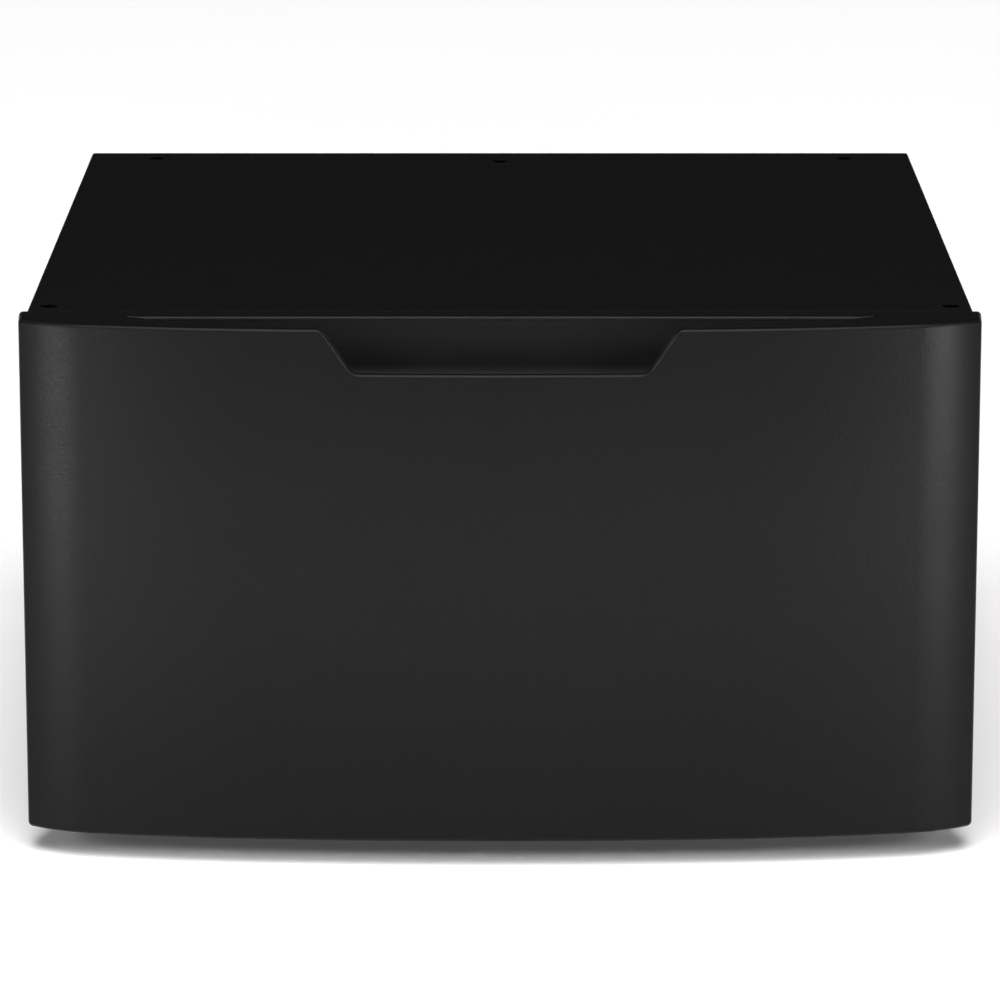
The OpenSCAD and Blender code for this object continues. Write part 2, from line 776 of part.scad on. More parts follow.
module lock_nut(side, end) {
  color(zinc) at_foot(side, end) difference() {
    translate([0, 0, base_z - lock_nut_h]) hex(nut_af, lock_nut_h);
    rod_z([0, 0, base_z - lock_nut_h - over], stud_d / 2 + run, lock_nut_h + 2 * over);
  }
}

// The stud's round disc turns inside the pad, which does not turn on the floor
module foot_pad(side, end) {
  color(dark_plastic) at_foot(side, end) difference() {
    union() {
      cylinder(r = pad_d / 2, h = pad_skirt_h, $fn = round_fn);
      cylinder(r = pad_boss_r, h = pad_h, $fn = round_fn);
    }
    rod_z([0, 0, disc_z - play], disc_r + play, disc_h + 2 * play);
    rod_z([0, 0, disc_z + disc_h], stud_d / 2 + play, pad_h);
  }
}

module foot_stud(side, end) {
  color(zinc) at_foot(side, end) union() {
    rod_z([0, 0, disc_z], disc_r, disc_h);
    rod_z([0, 0, disc_z], stud_d / 2, collar_z + collar_h + stud_l - disc_z);
    translate([0, 0, collar_z]) hex(nut_af, collar_h);
  }
}

// A hat channel that carries a slide off the side panel
module slide_mount(side) {
  half = mount_web_h / 2;
  y1 = mount_y0 + mount_l;
  color(zinc) on_side(side) difference() {
    union() {
      block([slide_x, mount_y0, slide_z - half], [slide_x + sheet_t, y1, slide_z + half]);
      for (end = [-1, 1]) {
        edge = slide_z + end * half;
        inner = edge - end * sheet_t;
        outer = edge + end * mount_flange_h;
        block([slide_x, mount_y0, min(edge, inner)], [side_x, y1, max(edge, inner)]);
        block([side_x - sheet_t, mount_y0, min(inner, outer)], [side_x, y1, max(inner, outer)]);
      }
    }
    for (y = rivet_ys) rod_x([slide_x - over, slide_y0 + y, slide_z], rivet_r + fit, sheet_t + 2 * over);
  }
}

// A member's upper or lower flange, with z counted from the middle of the slide
module flange(end, x0, x1, y0, y1, z_in, z_out) {
  low = slide_z + min(end * z_in, end * z_out);
  high = slide_z + max(end * z_in, end * z_out);
  block([x0, y0, low], [x1, y1, high]);
}

module slide_outer(side) {
  half = slide_h / 2;
  color(zinc) on_side(side) difference() {
    union() {
      block([outer_web_x, slide_y0, slide_z - half], [slide_x, slide_y1, slide_z + half]);
      for (end = [-1, 1]) {
        flange(end, outer_tip_x, slide_x, slide_y0, slide_y1, outer_in_z, half);
        flange(end, outer_tip_x, outer_tip_x + tip_lip_w, slide_y0, slide_y1, outer_in_z - outer_lip_h, half);
      }
    }
    for (y = rivet_ys) rod_x([outer_web_x - over, slide_y0 + y, slide_z], rivet_r + fit, member_t + 2 * over);
  }
}

module slide_middle(side) {
  y1 = middle_y0 + middle_l;
  color(zinc) on_side(side) union() {
    block([middle_web_x0, middle_y0, slide_z - middle_out_z], [middle_web_x1, y1, slide_z + middle_out_z]);
    for (end = [-1, 1]) {
      flange(end, middle_tip_x, middle_web_x1, middle_y0, y1, middle_in_z, middle_out_z);
      flange(end, middle_tip_x, middle_tip_x + tip_lip_w, middle_y0, y1, middle_in_z - middle_lip_h, middle_out_z);
    }
  }
}

module slide_inner(side) {
  y1 = inner_y0 + inner_l;
  color(zinc) on_side(side) difference() {
    union() {
      block([box_x, inner_y0, slide_z - inner_out_z], [inner_web_x1, y1, slide_z + inner_out_z]);
      for (end = [-1, 1]) flange(end, box_x, inner_tip_x, inner_y0, y1, inner_out_z - member_t, inner_out_z);
      rod_x([inner_web_x1, lever_pivot_y, slide_z], lever_pin_r, lever_t + 2 * play);
      rod_x([inner_web_x1 + lever_t + 2 * play, lever_pivot_y, slide_z], lever_pin_r + pin_head_w, pin_head_w);
    }
    for (y = rivet_ys) rod_x([box_x - over, inner_y0 + y, slide_z], rivet_r + fit, member_t + 2 * over);
  }
}

// A thin strip with tabs that reach between the flanges and hold two rows of balls
module cage(side, x, tip_x, y0, row_z, ball_x, ball_d) {
  half = row_z + cage_tab_t / 2;
  color(zinc) on_side(side) difference() {
    union() {
      block([x - strip_t / 2, y0, slide_z - half], [x + strip_t / 2, y0 + cage_l, slide_z + half]);
      for (end = [-1, 1]) flange(end, tip_x, x + strip_t / 2, y0, y0 + cage_l, row_z - cage_tab_t / 2, half);
    }
    for (i = [0:balls_in_row - 1]) {
      rod_z([ball_x, ball_y(y0, i), slide_z - slide_h / 2], ball_d / 2 + ball_room / 2, slide_h);
    }
  }
}

function ball_y(y0, i) = y0 + cage_l / 2 + (i - (balls_in_row - 1) / 2) * ball_pitch;

module balls(side, y0, row_z, ball_x, ball_d) {
  color(zinc) on_side(side) for (i = [0:balls_in_row - 1], end = [-1, 1]) {
    translate([ball_x, ball_y(y0, i), slide_z + end * row_z]) sphere(r = ball_d / 2, $fn = ball_fn);
  }
}

module outer_cage(side) {
  cage(side, outer_cage_x, outer_tip_x + tip_lip_w + play, outer_cage_y0, outer_row_z, outer_ball_x, outer_ball_d);
}

module inner_cage(side) {
  cage(side, inner_cage_x, middle_tip_x + tip_lip_w + play, inner_cage_y0, inner_row_z, inner_ball_x, inner_ball_d);
}

module outer_balls(side) {
  balls(side, outer_cage_y0, outer_row_z, outer_ball_x, outer_ball_d);
}

module inner_balls(side) {
  balls(side, inner_cage_y0, inner_row_z, inner_ball_x, inner_ball_d);
}

// A lever in the inner member's channel, which tilts about its pin to free the drawer
module release_lever(side) {
  x0 = inner_web_x1 + play;
  half = lever_arm_h / 2;
  color(dark_plastic) on_side(side) difference() {
    union() {
      rod_x([x0, lever_pivot_y, slide_z], lever_boss_r, lever_t);
      block([x0, lever_pivot_y - lever_tail, slide_z - half], [x0 + lever_t, lever_pivot_y + lever_l, slide_z + half]);
    }
    rod_x([x0 - over, lever_pivot_y, slide_z], lever_pin_r + run, lever_t + 2 * over);
  }
}

top_panel();
side_panel(-1);  // side_panel_left
side_panel(1);  // side_panel_right
back_panel();
front_top_rail();
front_sill();
rear_bottom_rail();
base_rail(-1);  // base_rail_left
base_rail(1);  // base_rail_right
top_brace(face_y + brace_front_in);  // top_brace_front
top_brace(rear_y - brace_rear_in);  // top_brace_rear
foot_bracket(-1, -1);  // foot_bracket_front_left
foot_bracket(1, -1);  // foot_bracket_front_right
foot_bracket(-1, 1);  // foot_bracket_rear_left
foot_bracket(1, 1);  // foot_bracket_rear_right
lock_nut(-1, -1);  // lock_nut_front_left
lock_nut(1, -1);  // lock_nut_front_right
lock_nut(-1, 1);  // lock_nut_rear_left
lock_nut(1, 1);  // lock_nut_rear_right
slide_mount(-1);  // slide_mount_left
slide_mount(1);  // slide_mount_right
slide_outer(-1);  // slide_outer_left
slide_outer(1);  // slide_outer_right
cabinet_screws();
slide_rivets();
front_skin();
handle_pocket();
front_back_pan();
drawer_box_front();
drawer_side(-1);  // drawer_side_left
drawer_side(1);  // drawer_side_right
drawer_back();
drawer_floor();
slide_inner(-1);  // slide_inner_left
slide_inner(1);  // slide_inner_right
drawer_screws();
bumper(-1);  // bumper_left
bumper(1);  // bumper_right
slide_middle(-1);  // slide_middle_left
slide_middle(1);  // slide_middle_right
outer_cage(-1);  // outer_cage_left
outer_cage(1);  // outer_cage_right
inner_cage(-1);  // inner_cage_left
inner_cage(1);  // inner_cage_right
outer_balls(-1);  // outer_balls_left
outer_balls(1);  // outer_balls_right
inner_balls(-1);  // inner_balls_left
inner_balls(1);  // inner_balls_right
release_lever(-1);  // release_lever_left
release_lever(1);  // release_lever_right
foot_pad(-1, -1);  // foot_pad_front_left
foot_pad(1, -1);  // foot_pad_front_right
foot_pad(-1, 1);  // foot_pad_rear_left
foot_pad(1, 1);  // foot_pad_rear_right
foot_stud(-1, -1);  // foot_stud_front_left
foot_stud(1, -1);  // foot_stud_front_right
foot_stud(-1, 1);  // foot_stud_rear_left
foot_stud(1, 1);  // foot_stud_rear_right
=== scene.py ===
"""Laundry pedestal: the finishes, and the sheet metal pieces modelled around the fixed frame."""

import json
import math

import bmesh
import bpy
from bpy.props import FloatProperty, FloatVectorProperty, PointerProperty
from mathutils import Matrix, Vector


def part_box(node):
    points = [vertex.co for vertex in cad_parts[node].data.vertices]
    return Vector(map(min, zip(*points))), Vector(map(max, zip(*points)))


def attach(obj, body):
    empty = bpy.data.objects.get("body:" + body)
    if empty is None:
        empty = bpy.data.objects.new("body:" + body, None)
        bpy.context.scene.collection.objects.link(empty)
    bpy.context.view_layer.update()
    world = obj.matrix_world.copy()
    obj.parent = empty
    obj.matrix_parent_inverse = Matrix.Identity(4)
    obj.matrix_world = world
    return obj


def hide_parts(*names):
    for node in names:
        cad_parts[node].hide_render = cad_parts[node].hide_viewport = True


bl_info = {
    "name": "Laundry Pedestal",
    "version": (1, 0, 0),
    "blender": (4, 5, 0),
    "location": "3D View > Sidebar > Pedestal",
    "description": "Builds a laundry pedestal's pieces and finishes around its fixed frame",
    "category": "Object",
}

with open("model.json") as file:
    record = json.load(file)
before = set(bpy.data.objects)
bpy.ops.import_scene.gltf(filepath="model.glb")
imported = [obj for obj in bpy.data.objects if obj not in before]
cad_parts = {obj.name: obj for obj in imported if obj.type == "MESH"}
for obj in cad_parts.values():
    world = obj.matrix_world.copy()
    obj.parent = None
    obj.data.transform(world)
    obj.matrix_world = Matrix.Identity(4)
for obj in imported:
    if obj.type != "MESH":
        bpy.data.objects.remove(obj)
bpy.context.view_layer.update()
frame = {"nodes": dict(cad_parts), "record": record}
NODES = frame["nodes"]
SIDES = (("left", -1), ("right", 1))
ENDS = ("front", "rear")
FEET = [end + "_" + side for end in ENDS for side, _ in SIDES]

# Sizes that the frame's boxes do not give, in metres
SHEET = 0.0012
DRAWER_SHEET = 0.001
RAIL_SHEET = 0.0016
FIT = 0.0001
TOP_SEAM = 0.0008
POCKET_STEP = 0.0003

# How wide the folded edges are
FACE_FOLD = 0.020
FACE_RETURN = 0.010
BOTTOM_FOLD = 0.025
BRACE_FLANGE = 0.012
MOUNT_FLANGE = 0.014
RAIL_RETURN = 0.011
SLIDE_LIP = 0.00256
HEM_WIDTH = 0.010
HEM_DROP = 0.008
LEDGE_WIDTH = 0.012

# The top rail steps back between these two heights under the seam, and the side's tab starts here
JOGGLE = (0.007, 0.004)
TAB_DROP = 0.006
TAB_START = 0.0026

# Pressed ribs and beads, and the top panel's fifth hole
BACK_RIB_HEIGHT = 0.030
BACK_RIB_DEPTH = 0.003
BACK_RIB_MARGIN = 0.076
BACK_RIB_PITCH = 0.110
BACK_RIB_SLOPE = 0.006
BEAD_WIDTH = 0.010
BEAD_MARGIN = 0.045
BEAD_PITCH = 0.110
BEAD_SLOPE = 0.003
BEADS = 5
FIFTH_HOLE_SETBACK = 0.040
DRILL_DEPTH = 0.006

# Moving parts and fasteners
THREAD_PITCH = 0.0015
STUD_RADIUS = 0.005
HEX_FLATS = 0.017
COLLAR_HEIGHT = 0.0113
LEVER_PIVOT = 0.110
SLIDE_FOLD = 0.0017
SCREW_FLATS = 0.008
SCREW_HEAD_HEIGHT = 0.0035
RIVET_HEAD_RADIUS = 0.0045
RIVET_HEAD_HEIGHT = 0.002

# How far round a hexagon's corners its chamfers reach, in radians
HEX_CUT = 0.16

# How round the edges of the pocket and the top are, then the fasteners' and the small pieces'
BROAD_EDGE = 0.0004
HEAD_EDGE = 0.00015
FINE_EDGE = 0.0001

# Where large plain faces are divided: under the front's top, near the sides' folds and up the sides
BROW_BAND = 0.05
FLAT_MARGIN = 0.026
SIDE_LINES = (0.12, 0.24)

# In how many steps a rounding, a tight one, a corner of the notch and turned pieces are drawn
ROUND_STEPS = 6
TIGHT_STEPS = 3
NOTCH_STEPS = 8
LATHE_STEPS = 48
SMALL_LATHE_STEPS = 24

# The camera's place from the top panel's front edge, its pitch in degrees and its lens in millimetres
CAMERA_BACK = 3.8609
CAMERA_UP = 0.7889
CAMERA_PITCH = 13.51
CAMERA_LENS = 198.86

# The lamps' sizes, places and aims, in metres. The low, rear and edge lamps are the right ones of
# pairs. Turns are in radians, the other angles in degrees
OVERHEAD_ANGLE = 42
OVERHEAD_TILT = 24
BODY_AIM = (0.0, -0.1, 0.2)
FRONT_LAMP = ((3.4, 2.2), (0.0, -3.6, 2.5))
STRIP_TURNS = (-0.52, -0.26, 0.0, 0.26, 0.52)
STRIP_SIZE = (0.84, 0.12)
STRIP_DISTANCE = 3.2
STRIP_HEIGHT = 0.24
STRIP_AIM = (0.0, -0.4, 0.20)
STRIP_SPREAD = 7.5
LOW_LAMP = ((0.50, 0.22), (1.19, -1.28, 0.13), (0.31, -0.33, 0.2))
REAR_LAMP = ((1.6, 1.6), (3.2, 2.4, 1.8))
EDGE_LAMP = ((0.7, 0.7), (2.08, -2.19, 1.30), (-0.11, -0.36, 0.38))
EDGE_SPREAD = 30.0

# Between which heights of a direction the white round the horizon fades, for shiny surfaces
HORIZON_GLOW = (0.0, 0.035)


def length(name, default, description, low=0.0, high=1.0):
    """A size in metres that a user may change."""
    return FloatProperty(name=name, description=description, default=default, min=low, max=high,
                         subtype="DISTANCE", unit="LENGTH", precision=4)


def colour(name, default, description):
    """A linear colour that a user may change."""
    return FloatVectorProperty(name=name, description=description, default=default, size=3,
                               min=0.0, max=1.0, subtype="COLOR")


def share(name, default, description):
    """A number from nought to one that a user may change."""
    return FloatProperty(name=name, description=description, default=default, min=0.0, max=1.0,
                         subtype="FACTOR")


def power(name, default, description):
    """A lamp's power in watts that a user may change."""
    return FloatProperty(name=name, description=description, default=default, min=0.0, unit="POWER")


class FrontSizes(bpy.types.PropertyGroup):
    """Sizes of the bowed front."""

    bow_radius: length("Bow Radius", 2.62, "Radius of the bow across its middle", 2.0, 4.0)
    cheek_radius: length("Cheek Radius", 1.08, "Radius of the bow's cheeks", 0.8, 1.5)
    shoulder_radius: length("Shoulder Radius", 0.112, "Radius of the bow's shoulders", 0.08, 0.15)
    corner_radius: length("Corner Radius", 0.005, "Radius of the upright corners", 0.004, 0.01)
    flare: length("Flank Flare", 0.0016, "How much wider each flank stands at its back", 0.0, 0.003)
    cheek_width: length("Cheek Width", 0.121, "Width of each cheek", 0.1, 0.15)
    shoulder_width: length("Shoulder Width", 0.0467, "Width of each shoulder", 0.04, 0.06)
    top_round: length("Top Rounding", 0.0032, "Rounding along the lip and the notch", 0.001, 0.0032)
    bottom_round: length("Bottom Rounding", 0.004, "Rounding along the lower edge", 0.001, 0.0045)
    skin: length("Skin", 0.0019, "Thickness of the front's sheet", 0.001, 0.00195)
    lip: length("Lip", 0.004, "Thickness of the folded lip", 0.0039, 0.0045)
    lip_height: length("Lip Height", 0.042, "Height of the folded lip", 0.035, 0.045)


class HandleSizes(bpy.types.PropertyGroup):
    """Sizes of the hand notch and the finger pocket."""

    notch_top: length("Notch Top", 0.2504, "Width of the notch at its top", 0.2, 0.3)
    notch_bottom: length("Notch Bottom", 0.2072, "Width of the notch at its bottom", 0.15, 0.25)
    notch_deep: length("Notch Depth", 0.032, "Depth of the notch", 0.02, 0.036)
    notch_top_radius: length("Notch Upper Radius", 0.008, "Radius of the upper corners", 0.004, 0.012)
    notch_bottom_radius: length("Notch Lower Radius", 0.010, "Radius of the lower corners", 0.004, 0.014)
    rear_width: length("Pocket Rear Width", 0.530, "Width of the pocket along its rear wall", 0.45, 0.56)
    front_width: length("Pocket Front Width", 0.435, "Width where the slanted ends stop", 0.4, 0.45)
    setback: length("Pocket Setback", 0.019, "From the cabinet's face to the rear wall", 0.015, 0.025)
    reach: length("Pocket Reach", 0.058, "From the cabinet's face to where the ends stop", 0.05, 0.06)
    rear_round: length("Rear Rounding", 0.0026, "Rounding of the deck into the pocket", 0.002, 0.0028)
    end_round: length("End Rounding", 0.0007, "Rounding at the pocket's corners", 0.0003, 0.0007)
    fillet: length("Pocket Fillet", 0.0105, "Rounding between walls and floor", 0.0025, 0.011)
    wall: length("Pocket Wall", 0.002, "Wall of the pocket's moulding", 0.0015, 0.0022)
    rolled: length("Rolled Edge", 0.0032, "How far the deck's edges turn down", 0.003, 0.01)


class SheetSizes(bpy.types.PropertyGroup):
    """How the folded sheets are finished."""

    fold: length("Fold Radius", 0.0022, "Outer radius of the cabinet's folds", 0.0013, 0.004)
    drawer_fold: length("Drawer Fold Radius", 0.0018, "Outer radius of the drawer's folds", 0.0011, 0.003)
    cut_edge: length("Cut Edge", 0.0002, "Rounding of the sheets' cut edges", 0.00005, 0.0004)
    solid_edge: length("Solid Edge", 0.0003, "Rounding of the solid pieces' edges", 0.00005, 0.0006)


class Finishes(bpy.types.PropertyGroup):
    """Colours of the pedestal, in linear light."""

    front: colour("Front Paint", (0.0026, 0.0026, 0.0028), "Satin paint of the drawer front")
    cabinet: colour("Cabinet Paint", (0.0042, 0.0042, 0.0043), "Near-black paint of the cabinet")
    pocket: colour("Pocket", (0.0056, 0.0056, 0.0058), "Moulded plastic of the finger pocket")
    galvanised: colour("Galvanised Steel", (0.45, 0.47, 0.48), "Dull zinc of the hidden sheets")
    drawer: colour("Drawer Steel", (0.50, 0.51, 0.52), "Smooth zinc of the drawer box")
    slide: colour("Slide Steel", (0.55, 0.56, 0.57), "Rolled steel of the slides")
    rubber: colour("Rubber", (0.03, 0.03, 0.03), "Rubber of the pads and bumpers")
    front_gloss: share("Front Roughness", 0.38, "Roughness of the front's paint")
    cabinet_gloss: share("Cabinet Roughness", 0.5, "Roughness of the cabinet's paint")


class StageSettings(bpy.types.PropertyGroup):
    """The floor, the lamps and the camera."""

    floor: colour("Floor", (0.84, 0.84, 0.84), "Colour of the floor")
    overhead: FloatProperty(name="Overhead Strength", description="Strength of the light from above",
                            default=3.8, min=0.0)
    front: power("Front Power", 30.0, "Power of the high front lamp")
    strip: power("Strip Power", 0.063, "Power of each low strip lamp in front")
    low: power("Low Power", 9.8, "Power of each low lamp beside the front")
    rear: power("Rear Power", 12.0, "Power of each rear lamp")
    edge: power("Edge Power", 1.7, "Power of each narrow lamp beside the notch")
    world: share("World", 0.02, "Strength of the light from all round")


def front_sizes():
    return bpy.context.scene.pedestal_front


def handle_sizes():
    return bpy.context.scene.pedestal_handle


def sheet_sizes():
    return bpy.context.scene.pedestal_sheet


def finishes():
    return bpy.context.scene.pedestal_finishes


# Materials

def plain_finish(name, base, roughness, metallic=0.0, specular=0.5):
    """A material whose shader has its plain values set, ready for grain."""
    material = bpy.data.materials.new(name)
    material.use_nodes = True
    shader = material.node_tree.nodes["Principled BSDF"]
    shader.inputs["Base Color"].default_value = (*base, 1.0)
    shader.inputs["Roughness"].default_value = roughness
    shader.inputs["Metallic"].default_value = metallic
    shader.inputs["Specular IOR Level"].default_value = specular
    return material, shader


def place_texture(tree, kind, scale, stretch=(1.0, 1.0, 1.0)):
    """A texture laid on the object's own coordinates."""
    coordinates = tree.nodes.new("ShaderNodeTexCoord")
    mapping = tree.nodes.new("ShaderNodeMapping")
    mapping.inputs["Scale"].default_value = stretch
    texture = tree.nodes.new(kind)
    texture.inputs["Scale"].default_value = scale
    tree.links.new(coordinates.outputs["Object"], mapping.inputs["Vector"])
    tree.links.new(mapping.outputs["Vector"], texture.inputs["Vector"])
    return texture


def noise(tree, scale, detail=2.0, stretch=(1.0, 1.0, 1.0)):
    """Soft noise between nought and one."""
    texture = place_texture(tree, "ShaderNodeTexNoise", scale, stretch)
    texture.inputs["Detail"].default_value = detail
    return texture.outputs["Fac"]


def cells(tree, scale):
    """Cells that each have a colour of their own."""
    return place_texture(tree, "ShaderNodeTexVoronoi", scale)


def spread(tree, value, low, high, start=0.3, stop=0.7):
    """Turns a texture's middle range into values from low to high."""
    node = tree.nodes.new("ShaderNodeMapRange")
    node.inputs["From Min"].default_value = start
    node.inputs["From Max"].default_value = stop
    node.inputs["To Min"].default_value = low
    node.inputs["To Max"].default_value = high
    tree.links.new(value, node.inputs["Value"])
    return node.outputs["Result"]


def join_numbers(tree, operation, first, second):
    """A number made from two others."""
    node = tree.nodes.new("ShaderNodeMath")
    node.operation = operation
    tree.links.new(first, node.inputs[0])
    tree.links.new(second, node.inputs[1])
    return node.outputs["Value"]


def ramp(tree, value, first, second, start=0.3, stop=0.7):
    """A colour that turns from one into another as a value rises."""
    node = tree.nodes.new("ShaderNodeValToRGB")
    for element, position, shade in zip(node.color_ramp.elements, (start, stop), (first, second)):
        element.position = position
        element.color = (*shade, 1.0)
    tree.links.new(value, node.inputs["Fac"])
    return node.outputs["Color"]


def tint(tree, value, base, low, high, start=0.3, stop=0.7):
    """A ramp from a darker to a lighter share of a colour."""
    return ramp(tree, value, [c * low for c in base], [c * high for c in base], start, stop)


def bump(tree, shader, height, distance, strength=1.0):
    """Raises a surface by a texture, on top of what already raises it."""
    node = tree.nodes.new("ShaderNodeBump")
    node.inputs["Distance"].default_value = distance
    node.inputs["Strength"].default_value = strength
    tree.links.new(height, node.inputs["Height"])
    normal = shader.inputs["Normal"]
    if normal.is_linked:
        tree.links.new(normal.links[0].from_socket, node.inputs["Normal"])
    tree.links.new(node.outputs["Normal"], normal)


def paint(name, base, roughness, specular, grain, depth):
    """Satin paint with fine flakes, orange peel and a few duller patches."""
    material, shader = plain_finish(name, base, roughness, specular=specular)
    tree = material.node_tree
    fine = noise(tree, grain, 2.0)
    tree.links.new(tint(tree, fine, base, 0.72, 1.32), shader.inputs["Base Color"])
    patches = spread(tree, noise(tree, 9.0, 3.0), roughness - 0.02, roughness + 0.03)
    flakes = spread(tree, noise(tree, grain * 1.3, 1.0), 0.86, 1.14)
    tree.links.new(join_numbers(tree, "MULTIPLY", patches, flakes), shader.inputs["Roughness"])
    bump(tree, shader, noise(tree, grain * 0.4, 2.0), depth * 2.0, 0.25)
    bump(tree, shader, fine, depth, 0.6)
    return material


def moulded(name, base, roughness, specular, grain=1400.0):
    """Moulded plastic with a spark-eroded texture."""
    material, shader = plain_finish(name, base, roughness, specular=specular)
    tree = material.node_tree
    texture = noise(tree, grain, 2.0)
    tree.links.new(tint(tree, texture, base, 0.86, 1.14), shader.inputs["Base Color"])
    tree.links.new(spread(tree, noise(tree, 30.0), roughness - 0.03, roughness + 0.05),
                   shader.inputs["Roughness"])
    bump(tree, shader, texture, 0.00006, 0.5)
    return material


def galvanised(name, base, roughness, spangle, contrast):
    """Galvanised sheet: flakes of zinc that each lie a little differently."""
    material, shader = plain_finish(name, base, roughness, metallic=1.0)
    tree = material.node_tree
    flakes = cells(tree, spangle)
    split = tree.nodes.new("ShaderNodeSeparateColor")
    tree.links.new(flakes.outputs["Color"], split.inputs["Color"])
    tree.links.new(tint(tree, split.outputs["Red"], base, 1.0 - contrast, 1.0 + contrast * 0.6, 0.0, 1.0),
                   shader.inputs["Base Color"])
    tree.links.new(spread(tree, split.outputs["Green"], roughness - 0.07, roughness + 0.09, 0.0, 1.0),
                   shader.inputs["Roughness"])
    bump(tree, shader, noise(tree, 260.0, 4.0), 0.00008, 0.25)
    return material


def rolled_steel(name, base, roughness):
    """Bright steel with fine lines along the rolling direction, which is Y."""
    material, shader = plain_finish(name, base, roughness, metallic=1.0)
    tree = material.node_tree
    lines = noise(tree, 900.0, 4.0, (1.0, 0.015, 1.0))
    tree.links.new(tint(tree, lines, base, 0.84, 1.12), shader.inputs["Base Color"])
    tree.links.new(spread(tree, lines, roughness - 0.06, roughness + 0.1), shader.inputs["Roughness"])
    bump(tree, shader, lines, 0.00002, 0.4)
    return material


def plated(name, base, roughness):
    """Zinc-plated fasteners with cloudy, slightly yellow passivation."""
    material, shader = plain_finish(name, base, roughness, metallic=1.0)
    tree = material.node_tree
    clouds = noise(tree, 190.0, 3.0)
    warm = (base[0] * 1.05, base[1] * 0.99, base[2] * 0.84)
    tree.links.new(ramp(tree, clouds, base, warm, 0.35, 0.68), shader.inputs["Base Color"])
    tree.links.new(spread(tree, clouds, roughness - 0.05, roughness + 0.12), shader.inputs["Roughness"])
    bump(tree, shader, noise(tree, 1200.0, 2.0), 0.00002, 0.4)
    return material


def rubber(name, base):
    """Dull rubber with a moulded grain and a little bloom."""
    material, shader = plain_finish(name, base, 0.78, specular=0.3)
    tree = material.node_tree
    tree.links.new(tint(tree, noise(tree, 120.0, 4.0), base, 0.75, 1.5), shader.inputs["Base Color"])
    bump(tree, shader, noise(tree, 900.0, 3.0), 0.00008, 0.5)
    return material


def polished_balls(name):
    """Polished steel with a few duller spots."""
    material, shader = plain_finish(name, (0.68, 0.68, 0.69), 0.12, metallic=1.0)
    tree = material.node_tree
    tree.links.new(spread(tree, noise(tree, 700.0, 2.0), 0.08, 0.2), shader.inputs["Roughness"])
    return material


def make_materials():
    """One finish for each of the record's material slots."""
    look = finishes()
    paint("front_paint_finish", look.front, look.front_gloss, specular=0.10, grain=620.0, depth=0.00016)
    paint("cabinet_paint_finish", look.cabinet, look.cabinet_gloss, specular=0.025, grain=900.0,
          depth=0.00008)
    moulded("pocket_plastic_finish", look.pocket, roughness=0.5, specular=0.05)
    moulded("lever_plastic_finish", (0.02, 0.02, 0.02), roughness=0.4, specular=0.3)
    galvanised("galvanised_steel_finish", look.galvanised, roughness=0.42, spangle=130.0, contrast=0.16)
    galvanised("drawer_steel_finish", look.drawer, roughness=0.36, spangle=240.0, contrast=0.07)
    rolled_steel("slide_steel_finish", look.slide, roughness=0.3)
    plated("zinc_plated_steel_finish", (0.58, 0.58, 0.56), roughness=0.3)
    polished_balls("ball_steel_finish")
    rubber("rubber_finish", look.rubber)


def material_of(slot):
    """The slot's finish, made with all the others the first time that one is asked for."""
    name = slot + "_finish"
    if name not in bpy.data.materials:
        make_materials()
    return bpy.data.materials[name]


SLOT_OF = {part["node"]: part["material_slot"] for part in frame["record"]["subparts"]}
BODY_OF = {node: body for body, nodes in frame["record"]["behaviour"]["bodies"].items() for node in nodes}


# Meshes

def add_modifier(piece, kind, **settings):
    """Adds a modifier to a piece, with its settings."""
    modifier = piece.modifiers.new(kind.title().replace("_", ""), kind)
    for name, value in settings.items():
        setattr(modifier, name, value)
    return modifier


def soften(piece, width, angle=40.0, segments=2):
    """Rounds a piece's sharp edges and keeps its flat faces looking flat."""
    add_modifier(piece, "BEVEL", width=width, segments=segments, limit_method="ANGLE",
                 angle_limit=math.radians(angle), use_clamp_overlap=True)
    add_modifier(piece, "WEIGHTED_NORMAL", keep_sharp=True)


def settle(piece):
    """Applies a piece's modifiers."""
    bpy.context.view_layer.update()
    evaluated = piece.evaluated_get(bpy.context.evaluated_depsgraph_get())
    old = piece.data
    piece.data = bpy.data.meshes.new_from_object(evaluated)
    piece.modifiers.clear()
    bpy.data.meshes.remove(old)


def thicken(piece, thickness):
    """Gives a surface the thickness of its sheet, inwards."""
    add_modifier(piece, "SOLIDIFY", thickness=thickness, offset=-1.0, use_even_offset=True)


def as_object(name, bm):
    """A piece from a mesh that is drawn."""
    mesh = bpy.data.meshes.new(name)
    bm.to_mesh(mesh)
    bm.free()
    mesh.shade_smooth()
    piece = bpy.data.objects.new(name, mesh)
    bpy.context.scene.collection.objects.link(piece)
    return piece


def face_outwards(bm, point, direction):
    """Makes a surface's faces agree, with the one nearest to a point facing a direction."""
    bmesh.ops.recalc_face_normals(bm, faces=bm.faces)
    nearest = min(bm.faces, key=lambda face: (face.calc_center_median() - Vector(point)).length)
    if nearest.normal.dot(Vector(direction)) < 0:
        bmesh.ops.reverse_faces(bm, faces=bm.faces)


def dress(piece, node):
    """Gives a new piece the finish and the body of the node that it stands for."""
    slot = SLOT_OF[node]
    piece.data.materials.clear()
    piece.data.materials.append(material_of(slot))
    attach(piece, BODY_OF[node])
    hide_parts(node)


def surface_piece(name, node, bm, thickness, edge, angle=40.0):
    """A node's stand-in: a sheet drawn as its outer surface, with its cut edges softened."""
    piece = as_object(name, bm)
    thicken(piece, thickness)
    soften(piece, edge, angle)
    dress(piece, node)


def join_strip(bm, first, second):
    """Faces between two rows of vertices of the same length."""
    for i in range(len(first) - 1):
        bm.faces.new((first[i], first[i + 1], second[i + 1], second[i]))


